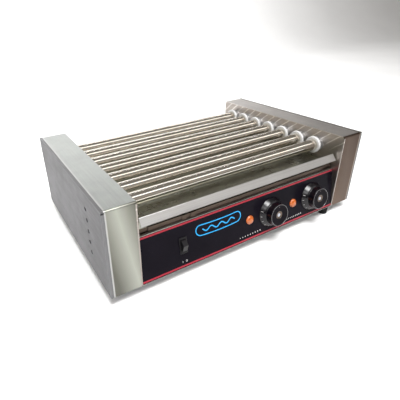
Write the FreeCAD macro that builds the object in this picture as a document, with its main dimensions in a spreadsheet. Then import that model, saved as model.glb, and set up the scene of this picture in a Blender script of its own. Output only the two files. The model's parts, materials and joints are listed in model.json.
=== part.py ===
"""Hot dog roller grill: seven chain-driven rollers between two end housings, over a pull-out drip tray.

Millimetres. +X is the operator's right, -Y the operator's side, +Z up. The origin is on the surface
that the rubber feet stand on, in the middle of the grill.
"""
import FreeCAD, Part
import math
import os
import Sketcher

V = FreeCAD.Vector
DOC = FreeCAD.newDocument("hot_dog_roller_grill")
SHEET = DOC.addObject("Spreadsheet::Sheet", "params")
NODES = {}

# ---------------------------------------------------------------- driving dimensions

DIMENSIONS = {
    # body
    "body_width": 580, "body_depth": 372, "body_height": 160, "foot_height": 20,
    "housing_width": 56.5, "skin": 1.2, "plate": 1.5, "seam": 0.3,
    "cover_depth": 5, "bend": 3, "hem": 2.5,
    "vent_radius": 3.75, "vent_pitch": 21.4, "vent_low": 42.5, "vent_inset": 75,
    "seal_depth": 6, "seal_height": 150,
    # rollers and their drive
    "roller_radius": 12, "roller_bore": 10.8, "roller_pitch": 44.45, "roller_height": 148.5,
    "row_middle": 8.3, "bush_flange_radius": 18, "bush_flange": 5.5, "bush_radius": 14.5,
    "bush_stand": 9.5, "bush_sleeve": 8.5, "running_fit": 0.05, "chain_pitch": 6.35, "chain_plane": 255,
    "sprocket_thickness": 2.8, "roller_reach": 258, "retainer_reach": 249,
    # heating elements
    "element_radius": 4, "element_reach": 270, "bracket_reach": 267, "bracket_height": 34,
    "bracket_front": 165, "bracket_rear": 178, "stud_reach": 284, "busbar_reach": 281,
    # control panel: distances along the panel are measured up from its bottom edge
    "panel_height": 87, "panel_tilt": 9.6, "panel_flange": 16, "panel_foot": 9,
    "film": 0.4, "film_low": 0.8, "film_high": 86.3, "control_line": 43,
    "knob_1_x": 53, "knob_2_x": 168, "knob_skirt": 30, "knob_grip": 22.2, "knob_height": 24.5,
    "knob_dish": 8.5,
    "light_1_x": -0.5, "light_2_x": 114.4, "light_radius": 8.75,
    "rocker_x": -150, "rocker_line": 44.5, "rocker_width": 15, "rocker_height": 31,
    "rocker_throw": 16, "pivot_radius": 1.2,
    # drip tray
    "tray_half_width": 228.3, "tray_floor": 116.5, "tray_sheet": 1, "tray_rear": 165,
    "lip_front": 178, "lip_low": 127, "lip_back": 170.5, "lip_high": 140, "apron_back": 165,
    "tray_play": 3.1, "lip_end": 2.6, "runner_tab": 24,
    # electrical bay
    "shield_height": 107, "rear_height": 110, "foot_x": 226.4, "foot_y": 173, "foot_inset": 21,
    "gland_x": 180, "gland_height": 52, "gland_bore": 4.5,
}

COUNT = 7
ROLLER_TEETH = 18
MOTOR_TEETH = 12
CHAIN_LINKS = 110
CHAIN_ROLLER = 1.65
SCREW_HOLE = 2.2
SIDES = {"left": -1, "right": 1}


class Dim(float):
    """A number from the sheet that remembers the expression it comes from."""

    def __new__(cls, number, text):
        dim = super().__new__(cls, number)
        dim.text = text
        return dim

    def joined(self, other, sign, number, swapped=False):
        texts = [self.text, other.text if isinstance(other, Dim) else f"({float(other)!r})"]
        if swapped:
            texts.reverse()
        return Dim(number, f"({texts[0]} {sign} {texts[1]})")

    def __add__(self, other):
        return self.joined(other, "+", float(self) + float(other))

    def __radd__(self, other):
        return self.joined(other, "+", float(other) + float(self), swapped=True)

    def __sub__(self, other):
        return self.joined(other, "-", float(self) - float(other))

    def __rsub__(self, other):
        return self.joined(other, "-", float(other) - float(self), swapped=True)

    def __mul__(self, other):
        return self.joined(other, "*", float(self) * float(other))

    def __rmul__(self, other):
        return self.joined(other, "*", float(other) * float(self), swapped=True)

    def __truediv__(self, other):
        return self.joined(other, "/", float(self) / float(other))

    def __neg__(self):
        return Dim(-float(self), f"(0 - {self.text})")


def sine(angle):
    return Dim(math.sin(math.radians(angle)), f"sin({angle.text} * 1 deg)")


def cosine(angle):
    return Dim(math.cos(math.radians(angle)), f"cos({angle.text} * 1 deg)")


def fill_sheet():
    """Writes each driving dimension to its own row and returns them as bound numbers."""
    dims = {}
    for row, (name, number) in enumerate(DIMENSIONS.items(), start=1):
        SHEET.set(f"A{row}", name)
        SHEET.set(f"B{row}", str(number))
        SHEET.setAlias(f"B{row}", name)
        dims[name] = Dim(number, f"params.{name}")
    return dims


D = fill_sheet()
DOC.recompute()

HALF_WIDTH = D["body_width"] / 2
HALF_DEPTH = D["body_depth"] / 2
UNDER = D["foot_height"]
TOP = D["foot_height"] + D["body_height"]
WALL = HALF_WIDTH - D["housing_width"]
BASE = UNDER + D["skin"]
BASE_TOP = BASE + D["plate"]
ROLLER_Z = D["roller_height"]
ROLLER_Y = [D["row_middle"] + (i - (COUNT - 1) / 2) * D["roller_pitch"] for i in range(COUNT)]
TILT_SIN = sine(D["panel_tilt"])
TILT_COS = cosine(D["panel_tilt"])
RUNNER_RIVETS_Y = (-140, 0, 140)
RIVET_Z = D["tray_floor"] - 4
RIVET_HOLE = 1.7
FLANGE_SCREWS_Y = (-150, -50, 50, 150)
REAR_SCREWS_Z = (40, 92)
PANEL_SCREWS_X = (-200, -70, 70, 200)
PANEL_SCREW_INSET = 4.8
GROMMET = (-120, 70)
BLADE_STEPS = (-8, 0, 8)
TAB_STEPS = (-12, 0, 12)
MOTOR_SCREWS = [(sy * 34, sz * 24) for sy in (-1, 1) for sz in (-1, 1)]


# ---------------------------------------------------------------- building blocks

def bind(obj, path, value):
    """Ties a property to the sheet when its value came from there."""
    if isinstance(value, Dim):
        obj.setExpression(path, value.text)


def place(obj, x=0.0, y=0.0, z=0.0, axis=V(0, 0, 1), angle=0.0):
    obj.Placement = FreeCAD.Placement(V(x, y, z), FreeCAD.Rotation(axis, float(angle)))
    for key, value in zip("xyz", (x, y, z)):
        bind(obj, "Placement.Base." + key, value)


def new_body(label, **where):
    body = DOC.addObject("PartDesign::Body", label)
    body.Label = label
    place(body, **where)
    return body


def origin_item(body, role):
    return next(item for item in body.Origin.OriginFeatures if item.Role == role)


def new_sketch(body, plane, offset=0.0):
    """A sketch on one of the body's own origin planes, moved along the plane's normal."""
    sketch = body.newObject("Sketcher::SketchObject", f"{body.Name}_sketch")
    sketch.AttachmentSupport = (origin_item(body, plane), [""])
    sketch.MapMode = "FlatFace"
    sketch.AttachmentOffset = FreeCAD.Placement(V(0, 0, float(offset)), FreeCAD.Rotation())
    bind(sketch, "AttachmentOffset.Base.z", offset)
    return sketch


def hold(sketch, kind, geometry, point, value):
    index = sketch.addConstraint(Sketcher.Constraint(kind, -1, 1, geometry, point, float(value)))
    bind(sketch, f"Constraints[{index}]", value)


def outline(sketch, corners):
    """A closed outline of straight edges, with each corner held from the sketch's origin."""
    first = len(sketch.Geometry)
    count = len(corners)
    for i, start in enumerate(corners):
        end = corners[(i + 1) % count]
        sketch.addGeometry(Part.LineSegment(V(*start, 0), V(*end, 0)), False)
    for i in range(count):
        sketch.addConstraint(Sketcher.Constraint("Coincident", first + i, 2, first + (i + 1) % count, 1))
    for i, (x, y) in enumerate(corners):
        hold(sketch, "DistanceX", first + i, 1, x)
        hold(sketch, "DistanceY", first + i, 1, y)


def hexagon(radius):
    """Corners of a nut at a radius from its centre."""
    turns = [math.radians(60 * k) for k in range(6)]
    return [(radius * math.cos(turn), radius * math.sin(turn)) for turn in turns]


def rectangle(sketch, x0, y0, x1, y1):
    outline(sketch, [(x0, y0), (x1, y0), (x1, y1), (x0, y1)])


def circle(sketch, x, y, radius):
    index = sketch.addGeometry(Part.Circle(V(x, y, 0), V(0, 0, 1), float(radius)), False)
    hold(sketch, "DistanceX", index, 3, x)
    hold(sketch, "DistanceY", index, 3, y)
    size = sketch.addConstraint(Sketcher.Constraint("Radius", index, float(radius)))
    bind(sketch, f"Constraints[{size}]", radius)


def pad(body, sketch, length):
    feature = body.newObject("PartDesign::Pad", f"{body.Name}_pad")
    feature.Profile = sketch
    feature.Length = float(length)
    bind(feature, "Length", length)
    sketch.Visibility = False
    return feature


def pocket(body, sketch, depth=None):
    """Cuts through the whole body both ways, or to a depth against the sketch's normal."""
    DOC.recompute()
    before = body.Shape.Volume
    feature = body.newObject("PartDesign::Pocket", f"{body.Name}_pocket")
    feature.Profile = sketch
    if depth is None:
        feature.Type = "ThroughAll"
        feature.SideType = "Symmetric"
    else:
        feature.Length = float(depth)
        bind(feature, "Length", depth)
    sketch.Visibility = False
    DOC.recompute()
    if not body.Shape.Volume < before - 1e-6:
        raise ValueError(f"{feature.Label} cuts nothing")
    return feature


def revolve(body, sketch, axis):
    feature = body.newObject("PartDesign::Revolution", f"{body.Name}_revolution")
    feature.Profile = sketch
    feature.ReferenceAxis = (sketch, [axis])
    feature.Angle = 360
    sketch.Visibility = False
    return feature


def fillet(body, radius, wanted):
    """Rounds the edges of the body's tip that the given test picks."""
    DOC.recompute()
    base = body.Tip
    names = [f"Edge{i}" for i, edge in enumerate(base.Shape.Edges, start=1) if wanted(edge)]
    feature = body.newObject("PartDesign::Fillet", f"{body.Name}_fillet")
    feature.Base = (base, names)
    feature.Radius = float(radius)
    bind(feature, "Radius", radius)


def along(axis, edge, tolerance=1e-6):
    """True for a straight edge that runs along the given axis."""
    line = edge.Curve
    return isinstance(line, Part.Line) and abs(abs(line.Direction.dot(axis)) - 1) < tolerance


def box(label, low, high):
    """A plain block between two corners."""
    block = DOC.addObject("Part::Box", label)
    block.Label = label
    for name, a, b in zip(("Length", "Width", "Height"), low, high):
        setattr(block, name, float(b - a))
        bind(block, name, b - a)
    place(block, *low)
    return block


def cylinder(label, radius, length, start, axis):
    """A round bar from its start point along +X, +Y or +Z."""
    bar = DOC.addObject("Part::Cylinder", label)
    bar.Label = label
    bar.Radius = float(radius)
    bar.Height = float(length)
    bind(bar, "Radius", radius)
    bind(bar, "Height", length)
    turn = {"X": (V(0, 1, 0), 90), "Y": (V(1, 0, 0), -90), "Z": (V(0, 0, 1), 0)}[axis]
    place(bar, *start, axis=turn[0], angle=turn[1])
    return bar


def fused(label, pieces):
    joined = DOC.addObject("Part::MultiFuse", label)
    joined.Label = label
    joined.Shapes = pieces
    joined.Refine = True
    return joined


def cut(label, base, tools):
    """A base piece less its tools."""
    tool = tools[0] if len(tools) == 1 else fused(label + "_tools", tools)
    result = DOC.addObject("Part::Cut", label)
    result.Label = label
    result.Base = base
    result.Tool = tool
    return result


def node(obj):
    """Keeps an object as one of the grill's named pieces."""
    NODES[obj.Label] = obj
    return obj


def group(label, shapes):
    """Identical separate solids that share one node."""
    feature = DOC.addObject("Part::Feature", label)
    feature.Label = label
    feature.Shape = Part.makeCompound(shapes)
    return node(feature)


def moved(shape, x, y, z, axis=V(0, 0, 1), angle=0.0):
    placement = FreeCAD.Placement(V(x, y, z), FreeCAD.Rotation(axis, angle))
    return shape.transformed(placement.toMatrix(), copy=True)


def on_panel(x, line, proud=0.0):
    """Placement whose +Z points squarely out of the panel and +Y up it."""
    return {
        "x": x,
        "y": -HALF_DEPTH + line * TILT_SIN - proud * TILT_COS,
        "z": UNDER + line * TILT_COS + proud * TILT_SIN,
        "axis": V(1, 0, 0),
        "angle": 90 - D["panel_tilt"],
    }


def panel_body(label, x, line, proud=0.0):
    body = new_body(label, **on_panel(x, line, proud))
    body.setExpression("Placement.Rotation.Angle", "90 - params.panel_tilt")
    return body


# ---------------------------------------------------------------- casing

def make_base_plate():
    body = new_body("base_plate", z=BASE)
    edge_x = HALF_WIDTH - D["skin"] - D["seam"]
    edge_y = HALF_DEPTH - D["skin"] - 2 * D["seam"]
    sketch = new_sketch(body, "XY_Plane")
    rectangle(sketch, -edge_x, -edge_y, edge_x, edge_y)
    for sx in (-1, 1):
        for y in FLANGE_SCREWS_Y:
            circle(sketch, sx * (WALL + 8), y, SCREW_HOLE)
            circle(sketch, sx * (HALF_WIDTH - 8), y, SCREW_HOLE)
    for x, y in foot_seats():
        circle(sketch, x, y, 2.7)
    for x in PANEL_SCREWS_X:
        circle(sketch, x, -HALF_DEPTH + PANEL_SCREW_INSET, SCREW_HOLE)
    for column in range(-5, 6):
        for row_y in (-60, 10, 80):
            rectangle(sketch, column * 36 - 3, row_y, column * 36 + 3, row_y + 45)
    pad(body, sketch, D["plate"])
    node(body)


def make_inner_wall(name, side):
    """Bearing wall: plate, hems that show beside the shell, foot flange and rear flange."""
    body = new_body(f"{name}_inner_wall")
    face = side * WALL
    back = side * (WALL + D["plate"])
    inside = HALF_DEPTH - D["skin"]
    start = min(face, back)
    profile = new_sketch(body, "YZ_Plane", start)
    rectangle(profile, -inside, BASE_TOP, inside, TOP - D["skin"])
    pad(body, profile, D["plate"])
    fillet(body, D["bend"], lambda e: along(V(1, 0, 0), e) and e.CenterOfMass.z > TOP - 2 * D["skin"])
    for low, high in ((-HALF_DEPTH, -inside), (inside, HALF_DEPTH)):
        hem = new_sketch(body, "YZ_Plane", min(face, side * (WALL + D["hem"])))
        rectangle(hem, low, UNDER, high, TOP - 4)
        pad(body, hem, D["hem"])
    foot = new_sketch(body, "XY_Plane", BASE_TOP)
    rectangle(foot, back, -inside + 2, side * (WALL + 14), inside - 2)
    pad(body, foot, D["plate"])
    rear = new_sketch(body, "YZ_Plane", min(face, side * (WALL - 12)))
    rectangle(rear, inside - D["plate"], BASE_TOP, inside, D["rear_height"] - 3)
    pad(body, rear, 12)

    bores = new_sketch(body, "YZ_Plane")
    for y in ROLLER_Y:
        circle(bores, y, ROLLER_Z, D["bush_radius"] + D["running_fit"])
    for y in RUNNER_RIVETS_Y:
        circle(bores, y, RIVET_Z, RIVET_HOLE)
    circle(bores, *GROMMET, 7)
    if side < 0:
        circle(bores, D["row_middle"], MOTOR_Z, 9)
        for dy, dz in MOTOR_SCREWS:
            circle(bores, D["row_middle"] + dy, MOTOR_Z + dz, SCREW_HOLE)
    pocket(body, bores)

    foot_holes = new_sketch(body, "XY_Plane", BASE_TOP + D["plate"])
    for y in FLANGE_SCREWS_Y:
        circle(foot_holes, side * (WALL + 8), y, SCREW_HOLE)
    pocket(body, foot_holes, D["plate"])
    rear_holes = new_sketch(body, "XZ_Plane", -(inside - D["plate"]))
    for z in REAR_SCREWS_Z:
        circle(rear_holes, side * (WALL - 6), z, SCREW_HOLE)
    pocket(body, rear_holes, D["plate"])
    node(body)


def make_housing_shell(name, side):
    """Sheet bent over the front, top and rear of one end housing."""
    width = D["housing_width"] - D["cover_depth"] - D["seam"]
    body = new_body(f"{name}_housing_shell")
    start = WALL if side > 0 else -WALL - width
    wrap = new_sketch(body, "YZ_Plane", start)
    inside = HALF_DEPTH - D["skin"]
    ceiling = TOP - D["skin"]
    outline(wrap, [(-HALF_DEPTH, UNDER), (-HALF_DEPTH, TOP), (HALF_DEPTH, TOP), (HALF_DEPTH, UNDER),
                   (inside, UNDER), (inside, ceiling), (-inside, ceiling), (-inside, UNDER)])
    pad(body, wrap, width)
    fillet(body, D["bend"], lambda e: along(V(1, 0, 0), e) and e.CenterOfMass.z > TOP - 0.1)
    inner = D["bend"] - D["skin"]
    fillet(body, inner, lambda e: along(V(1, 0, 0), e) and abs(e.CenterOfMass.z - ceiling) < 0.1
           and abs(abs(e.CenterOfMass.y) - inside) < 0.1)
    notch = new_sketch(body, "XZ_Plane")
    clear = D["hem"] + D["seam"]
    rectangle(notch, side * WALL, UNDER - 1, side * (WALL + clear), TOP - 4 + D["seam"])
    pocket(body, notch)
    node(body)


def make_side_cover(name, side):
    """Outer cover: a shallow pan with a column of round vents, notched at its corners."""
    body = new_body(f"{name}_side_cover")
    depth = D["cover_depth"]
    outer = side * HALF_WIDTH
    inner = side * (HALF_WIDTH - depth)
    start = min(outer, inner)
    rear = HALF_DEPTH
    pan = new_sketch(body, "YZ_Plane", start)
    rectangle(pan, -HALF_DEPTH, UNDER, rear, TOP)
    pad(body, pan, depth)
    fillet(body, 1.2, lambda e: abs(abs(e.CenterOfMass.x) - HALF_WIDTH) < 0.1
           and e.CenterOfMass.z > UNDER + 1)
    skin_start = start + (D["skin"] if side < 0 else 0)
    hollow = new_sketch(body, "YZ_Plane", skin_start + (depth - D["skin"]))
    rectangle(hollow, -HALF_DEPTH + D["skin"], UNDER + D["skin"], rear - D["skin"], TOP - D["skin"])
    pocket(body, hollow, depth - D["skin"])

    strip = new_sketch(body, "YZ_Plane")
    seal = D["seal_depth"]
    rectangle(strip, rear - seal, UNDER - 1, rear + 1, UNDER + D["seal_height"])
    pocket(body, strip)
    corner = new_sketch(body, "YZ_Plane")
    rectangle(corner, -HALF_DEPTH - 1, TOP - 4.5, -HALF_DEPTH + D["skin"], TOP - 2)
    pocket(body, corner)
    vents = new_sketch(body, "YZ_Plane")
    for i in range(5):
        height = UNDER + D["vent_low"] + i * D["vent_pitch"]
        circle(vents, -HALF_DEPTH + D["vent_inset"], height, D["vent_radius"])
    pocket(body, vents)

    foot = new_sketch(body, "XY_Plane", UNDER)
    rectangle(foot, side * (HALF_WIDTH - D["skin"]), -HALF_DEPTH + 4,
              side * (HALF_WIDTH - 16), HALF_DEPTH - 12)
    pad(body, foot, D["skin"])
    holes = new_sketch(body, "XY_Plane", BASE)
    for y in FLANGE_SCREWS_Y:
        circle(holes, side * (HALF_WIDTH - 8), y, SCREW_HOLE)
    pocket(body, holes, D["skin"])
    node(body)


def make_edge_seals():
    """Black rubber strips that close the rear edge of each side cover."""
    strips = []
    for name, side in SIDES.items():
        x0 = side * HALF_WIDTH
        x1 = side * (HALF_WIDTH - D["cover_depth"])
        gap = D["seam"]
        low = (min(x0, x1), HALF_DEPTH - D["seal_depth"] + gap, BASE_TOP + gap)
        high = (max(x0, x1), HALF_DEPTH, UNDER + D["seal_height"] - gap)
        strips.append(box(f"{name}_seal_strip", low, high))
    DOC.recompute()
    group("rear_edge_seals", [strip.Shape for strip in strips])


def make_rear_panel():
    body = new_body("rear_panel")
    edge = WALL - D["seam"]
    sheet = new_sketch(body, "XZ_Plane", -HALF_DEPTH)
    rectangle(sheet, -edge, UNDER, edge, D["rear_height"])
    circle(sheet, D["gland_x"], D["gland_height"], 10.3)
    for sx in (-1, 1):
        for z in REAR_SCREWS_Z:
            circle(sheet, sx * (WALL - 6), z, SCREW_HOLE)
    for i in range(12):
        x = -150 + i * 16
        rectangle(sheet, x - 3, 45, x + 3, 85)
    pad(body, sheet, D["skin"])
    top = new_sketch(body, "XY_Plane", D["rear_height"] - D["skin"])
    rectangle(top, -edge + 14, HALF_DEPTH - 14, edge - 14, HALF_DEPTH - D["skin"])
    pad(body, top, D["skin"])
    node(body)


# ---------------------------------------------------------------- control panel

def make_control_panel():
    """Leaning sheet with a foot flange under it and a flange back from its top edge."""
    body = new_body("control_panel")
    edge = WALL - D["seam"]
    rise = D["panel_height"] * TILT_COS
    lean = D["panel_height"] * TILT_SIN
    skin = D["skin"]
    through = skin / TILT_COS
    slope = TILT_SIN / TILT_COS
    front = -HALF_DEPTH
    top = UNDER + rise
    profile = new_sketch(body, "YZ_Plane", -edge)
    outline(profile, [
        (front, UNDER), (front + D["panel_foot"], UNDER), (front + D["panel_foot"], BASE),
        (front + through + skin * slope, BASE), (front + through + (rise - skin) * slope, top - skin),
        (front + lean + D["panel_flange"], top - skin), (front + lean + D["panel_flange"], top),
        (front + lean, top)])
    pad(body, profile, 2 * edge)
    fillet(body, 1.5, lambda e: along(V(1, 0, 0), e) and e.CenterOfMass.z > top - 0.1
           and e.CenterOfMass.y < front + lean + 0.1)

    holes = new_sketch(body, "XZ_Plane", HALF_DEPTH)
    holes.AttachmentOffset = FreeCAD.Placement(
        V(0, UNDER, HALF_DEPTH), FreeCAD.Rotation(V(1, 0, 0), -D["panel_tilt"]))
    bind(holes, "AttachmentOffset.Base.y", UNDER)
    holes.setExpression("AttachmentOffset.Rotation.Angle", "0 - params.panel_tilt")
    for x in (D["knob_1_x"], D["knob_2_x"]):
        circle(holes, x, D["control_line"], 5.3)
    for x in (D["light_1_x"], D["light_2_x"]):
        circle(holes, x, D["control_line"], 6.3)
    rocker_opening(holes, D["rocker_x"], D["rocker_line"])
    pocket(body, holes)

    feet = new_sketch(body, "XY_Plane", BASE)
    for x in PANEL_SCREWS_X:
        circle(feet, x, front + PANEL_SCREW_INSET, SCREW_HOLE)
    pocket(body, feet, skin)
    node(body)


def rocker_opening(sketch, x, line):
    half_x = D["rocker_width"] / 2 - 1
    half_y = D["rocker_height"] / 2 - 1.5
    rectangle(sketch, x - half_x, line - half_y, x + half_x, line + half_y)


def make_panel_overlay():
    """Printed film over the front of the panel."""
    body = panel_body("panel_overlay", 0.0, 0.0)
    edge = WALL - D["seam"]
    sketch = new_sketch(body, "XY_Plane")
    rectangle(sketch, -edge, D["film_low"], edge, D["film_high"])
    for x in (D["knob_1_x"], D["knob_2_x"]):
        circle(sketch, x, D["control_line"], 8)
    for x in (D["light_1_x"], D["light_2_x"]):
        circle(sketch, x, D["control_line"], 6.3)
    rocker_opening(sketch, D["rocker_x"], D["rocker_line"])
    pad(body, sketch, D["film"])
    node(body)


def make_thermostat(number):
    """Capillary thermostat behind the panel, with a threaded neck and its nut."""
    x = D[f"knob_{number}_x"]
    body = panel_body(f"thermostat_{number}", x, D["control_line"])
    case = new_sketch(body, "XY_Plane", -D["skin"] - 30)
    rectangle(case, -22, -18, 22, 18)
    pad(body, case, 30)
    neck = new_sketch(body, "XY_Plane", -D["skin"])
    circle(neck, 0, 0, 5)
    pad(body, neck, D["skin"] + 4)
    nut = new_sketch(body, "XY_Plane")
    outline(nut, hexagon(7.2))
    pad(body, nut, 3)
    bore = new_sketch(body, "XY_Plane", 4)
    circle(bore, 0, 0, 3.1)
    pocket(body, bore, D["skin"] + 14)
    for step in TAB_STEPS:
        tab = new_sketch(body, "XY_Plane", -D["skin"] - 38)
        rectangle(tab, step - 3, -0.4, step + 3, 0.4)
        pad(body, tab, 8)
    node(body)


def make_spindle(number):
    """Thermostat spindle with the flat that drives the knob."""
    body = panel_body(f"thermostat_spindle_{number}", D[f"knob_{number}_x"], D["control_line"])
    sketch = new_sketch(body, "XY_Plane", -8)
    circle(sketch, 0, 0, 3.04)
    pad(body, sketch, 26)
    flat = new_sketch(body, "XY_Plane", 18)
    rectangle(flat, -4, 1.6, 4, 4)
    pocket(body, flat, 12)
    node(body)


def make_knob(number):
    """Hollow knob: wide tapered skirt, plain grip with a raised rim, and a dish in the middle of its face."""
    body = panel_body(f"knob_{number}", D[f"knob_{number}_x"], D["control_line"])
    grip = D["knob_grip"]
    skirt = D["knob_skirt"]
    high = D["knob_height"]
    low = D["film"] + D["seam"]
    dish = D["knob_dish"]
    section = new_sketch(body, "XZ_Plane")
    outline(section, [
        (3.05, 5), (8, 5), (8, 19), (grip - 3, 19), (grip - 3, 10), (skirt - 3, low),
        (skirt, low), (skirt, low + 1.2), (grip + 2.2, low + 9.6), (grip + 0.8, low + 10.4),
        (grip, high - 1), (grip - 0.6, high), (grip - 1.6, high), (grip - 2.2, high - 0.8),
        (dish, high - 1.1), (dish - 0.6, high - 1.9), (dish / 2, high - 2.9), (0, high - 3.3),
        (0, 19), (3.05, 19)])
    revolve(body, section, "V_Axis")
    pointer = new_sketch(body, "XY_Plane", high + 0.1)
    rectangle(pointer, -0.6, grip - 7, 0.6, grip - 3.2)
    pocket(body, pointer, 1.5)
    node(body)


def make_pilot_light(number):
    """Amber dome with a flange outside the panel and a round holder behind it."""
    body = panel_body(f"pilot_light_{number}", D[f"light_{number}_x"], D["control_line"], D["film"])
    radius = D["light_radius"]
    section = new_sketch(body, "XZ_Plane")
    outline(section, [(0, -24), (6, -24), (6, 0), (radius, 0), (radius, 1.2), (radius - 1, 2),
                      (radius - 2.2, 3.3), (radius - 4.4, 4.3), (0, 4.8)])
    revolve(body, section, "V_Axis")
    node(body)


def make_rocker():
    """Switch housing that snaps into the panel, and the button that tips in it."""
    x = D["rocker_x"]
    line = D["rocker_line"]
    housing = panel_body("rocker_housing", x, line, D["film"])
    half_x = D["rocker_width"] / 2
    half_y = D["rocker_height"] / 2
    bezel = new_sketch(housing, "XY_Plane")
    rectangle(bezel, -half_x, -half_y, half_x, half_y)
    pad(housing, bezel, 1.8)
    fillet(housing, 0.8, lambda e: e.BoundBox.ZLength < 2 and e.CenterOfMass.z > 1.7)
    tub = new_sketch(housing, "XY_Plane", -22)
    rectangle(tub, -half_x + 1.3, -half_y + 1.8, half_x - 1.3, half_y - 1.8)
    pad(housing, tub, 22)
    cavity = new_sketch(housing, "XY_Plane", 1.8)
    rectangle(cavity, -half_x + 2.4, -11.8, half_x - 2.4, 11.8)
    pocket(housing, cavity, 13.5)
    pivot = half_x - 1.8
    sockets = new_sketch(housing, "YZ_Plane", pivot + 0.2)
    circle(sockets, 0, 0, D["pivot_radius"] + D["running_fit"])
    pocket(housing, sockets, 2 * pivot + 0.4)
    for step in BLADE_STEPS:
        blade = new_sketch(housing, "XY_Plane", -30)
        rectangle(blade, -3.2, step - 0.4, 3.2, step + 0.4)
        pad(housing, blade, 8)
    node(housing)

    button = panel_body("rocker_button", x, line, D["film"])
    button.Placement = button.Placement.multiply(
        FreeCAD.Placement(V(0, 0, 0), FreeCAD.Rotation(V(1, 0, 0), -D["rocker_throw"] / 2)))
    button.setExpression("Placement.Rotation.Angle", "90 - params.panel_tilt - params.rocker_throw / 2")
    half = half_x - 2.7
    profile = new_sketch(button, "YZ_Plane", -half)
    outline(profile, [(-11, 3.2), (0, 1.5), (11, 3.2), (11.2, 1), (7, -8), (-7, -8), (-11.2, 1)])
    pad(button, profile, 2 * half)
    pins = new_sketch(button, "YZ_Plane", -pivot)
    circle(pins, 0, 0, D["pivot_radius"])
    pad(button, pins, 2 * pivot)
    node(button)


# ---------------------------------------------------------------- drip tray and shield

def make_drip_tray():
    """Pull-out tray: slanted lip for the fingers, steep apron, shallow pan, rear wall.

    The lip's right end is cut at a slant, and the tray stands a little to the right of the middle.
    """
    body = new_body("drip_tray", x=D["tray_play"])
    half = D["tray_half_width"]
    t = D["tray_sheet"]
    under = D["tray_floor"]
    floor = under + t
    rear = D["tray_rear"]
    front = -D["lip_front"]
    back = -D["lip_back"]
    low = D["lip_low"]
    high = D["lip_high"]
    apron = -D["apron_back"]
    profile = new_sketch(body, "YZ_Plane", -half)
    outline(profile, [
        (front, low), (back, high), (back + t, high), (apron, floor), (-98.6, floor), (-98, floor + 1.8),
        (rear - t, floor + 1.8), (rear - t, floor + 10), (rear, floor + 10), (rear, under + 1.8),
        (-97.2, under + 1.8), (-97.8, under), (apron - t, under), (back + 0.1, high - 2.1),
        (front + 0.9, low - 0.5)])
    pad(body, profile, 2 * half)
    fillet(body, 0.9, lambda e: along(V(1, 0, 0), e) and abs(e.CenterOfMass.z - high) < 0.1
           and e.CenterOfMass.y < back + 0.1)
    for side in (-1, 1):
        rim = new_sketch(body, "YZ_Plane", min(side * half, side * (half - t)))
        rectangle(rim, apron, under, rear, floor + 3.5)
        pad(body, rim, t)
    ends = new_sketch(body, "XZ_Plane")
    outline(ends, [(half - D["lip_end"], high), (half - D["lip_end"], high + 1), (half + 1, high + 1),
                   (half + 1, low), (half, low)])
    pocket(body, ends)
    node(body)


def make_tray_runners():
    """Angles screwed to the inner walls that carry the tray's edges, each with a front end tab."""
    rails = []
    for name, side in SIDES.items():
        leg = D["tray_floor"] - D["seam"]
        body = new_body(f"{name}_tray_runner")
        wall = side * (WALL - 0.02)
        shelf = side * (WALL - 15)
        profile = new_sketch(body, "XZ_Plane", -150)
        outline(profile, [(wall, leg), (shelf, leg), (shelf, leg - D["skin"]),
                          (wall - side * D["skin"], leg - D["skin"]),
                          (wall - side * D["skin"], leg - 7.3), (wall, leg - 7.3)])
        pad(body, profile, 315)
        tab = new_sketch(body, "XZ_Plane", 165)
        rectangle(tab, wall, leg - 7.3, side * (WALL - D["runner_tab"]), leg)
        pad(body, tab, D["skin"])
        DOC.recompute()
        holes = new_sketch(body, "YZ_Plane")
        for y in RUNNER_RIVETS_Y:
            circle(holes, y, RIVET_Z, RIVET_HOLE)
        pocket(body, holes)
        rails.append(body.Shape)
    group("tray_runners", rails)


def make_heat_shield():
    """Sheet between the hot tray and the electrical bay.

    Its front edge is turned up to close the gap under the tray, with two tray rests ahead of it.
    """
    body = new_body("heat_shield", z=D["shield_height"])
    edge = WALL - D["seam"] - 0.3
    front = -HALF_DEPTH + 17
    sheet = new_sketch(body, "XY_Plane")
    rectangle(sheet, -edge, front, edge, HALF_DEPTH - 15)
    pad(body, sheet, 1)
    upstand = new_sketch(body, "XZ_Plane", -front - 2.4)
    reach = WALL - D["runner_tab"] - 0.5
    rectangle(upstand, -reach, 1, reach, D["tray_floor"] - D["shield_height"] - 0.6)
    pad(body, upstand, 1)
    for x in (-140, -123):
        rest = new_sketch(body, "XZ_Plane", -front - 1)
        rectangle(rest, x - 4.5, 1, x + 4.5, 9)
        pad(body, rest, 1)
    node(body)


# ---------------------------------------------------------------- rollers and heating

def make_rollers():
    """Polished tubes that turn in the bushes, each with a retaining ring pressed on its right end.

    The left end of a tube reaches through its bush to carry the sprocket.
    """
    tube = new_body("tube_prototype")
    section = new_sketch(tube, "XZ_Plane")
    rectangle(section, -D["roller_reach"], D["roller_bore"], D["retainer_reach"], D["roller_radius"])
    revolve(tube, section, "H_Axis")
    ring = new_body("ring_prototype", x=WALL + D["bush_sleeve"] + D["seam"])
    sketch = new_sketch(ring, "YZ_Plane")
    circle(sketch, 0, 0, 15)
    circle(sketch, 0, 0, D["roller_radius"])
    pad(ring, sketch, 3)
    DOC.recompute()
    for number, y in enumerate(ROLLER_Y, start=1):
        group(f"roller_{number}", [moved(part.Shape, 0, y, ROLLER_Z) for part in (tube, ring)])


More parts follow.
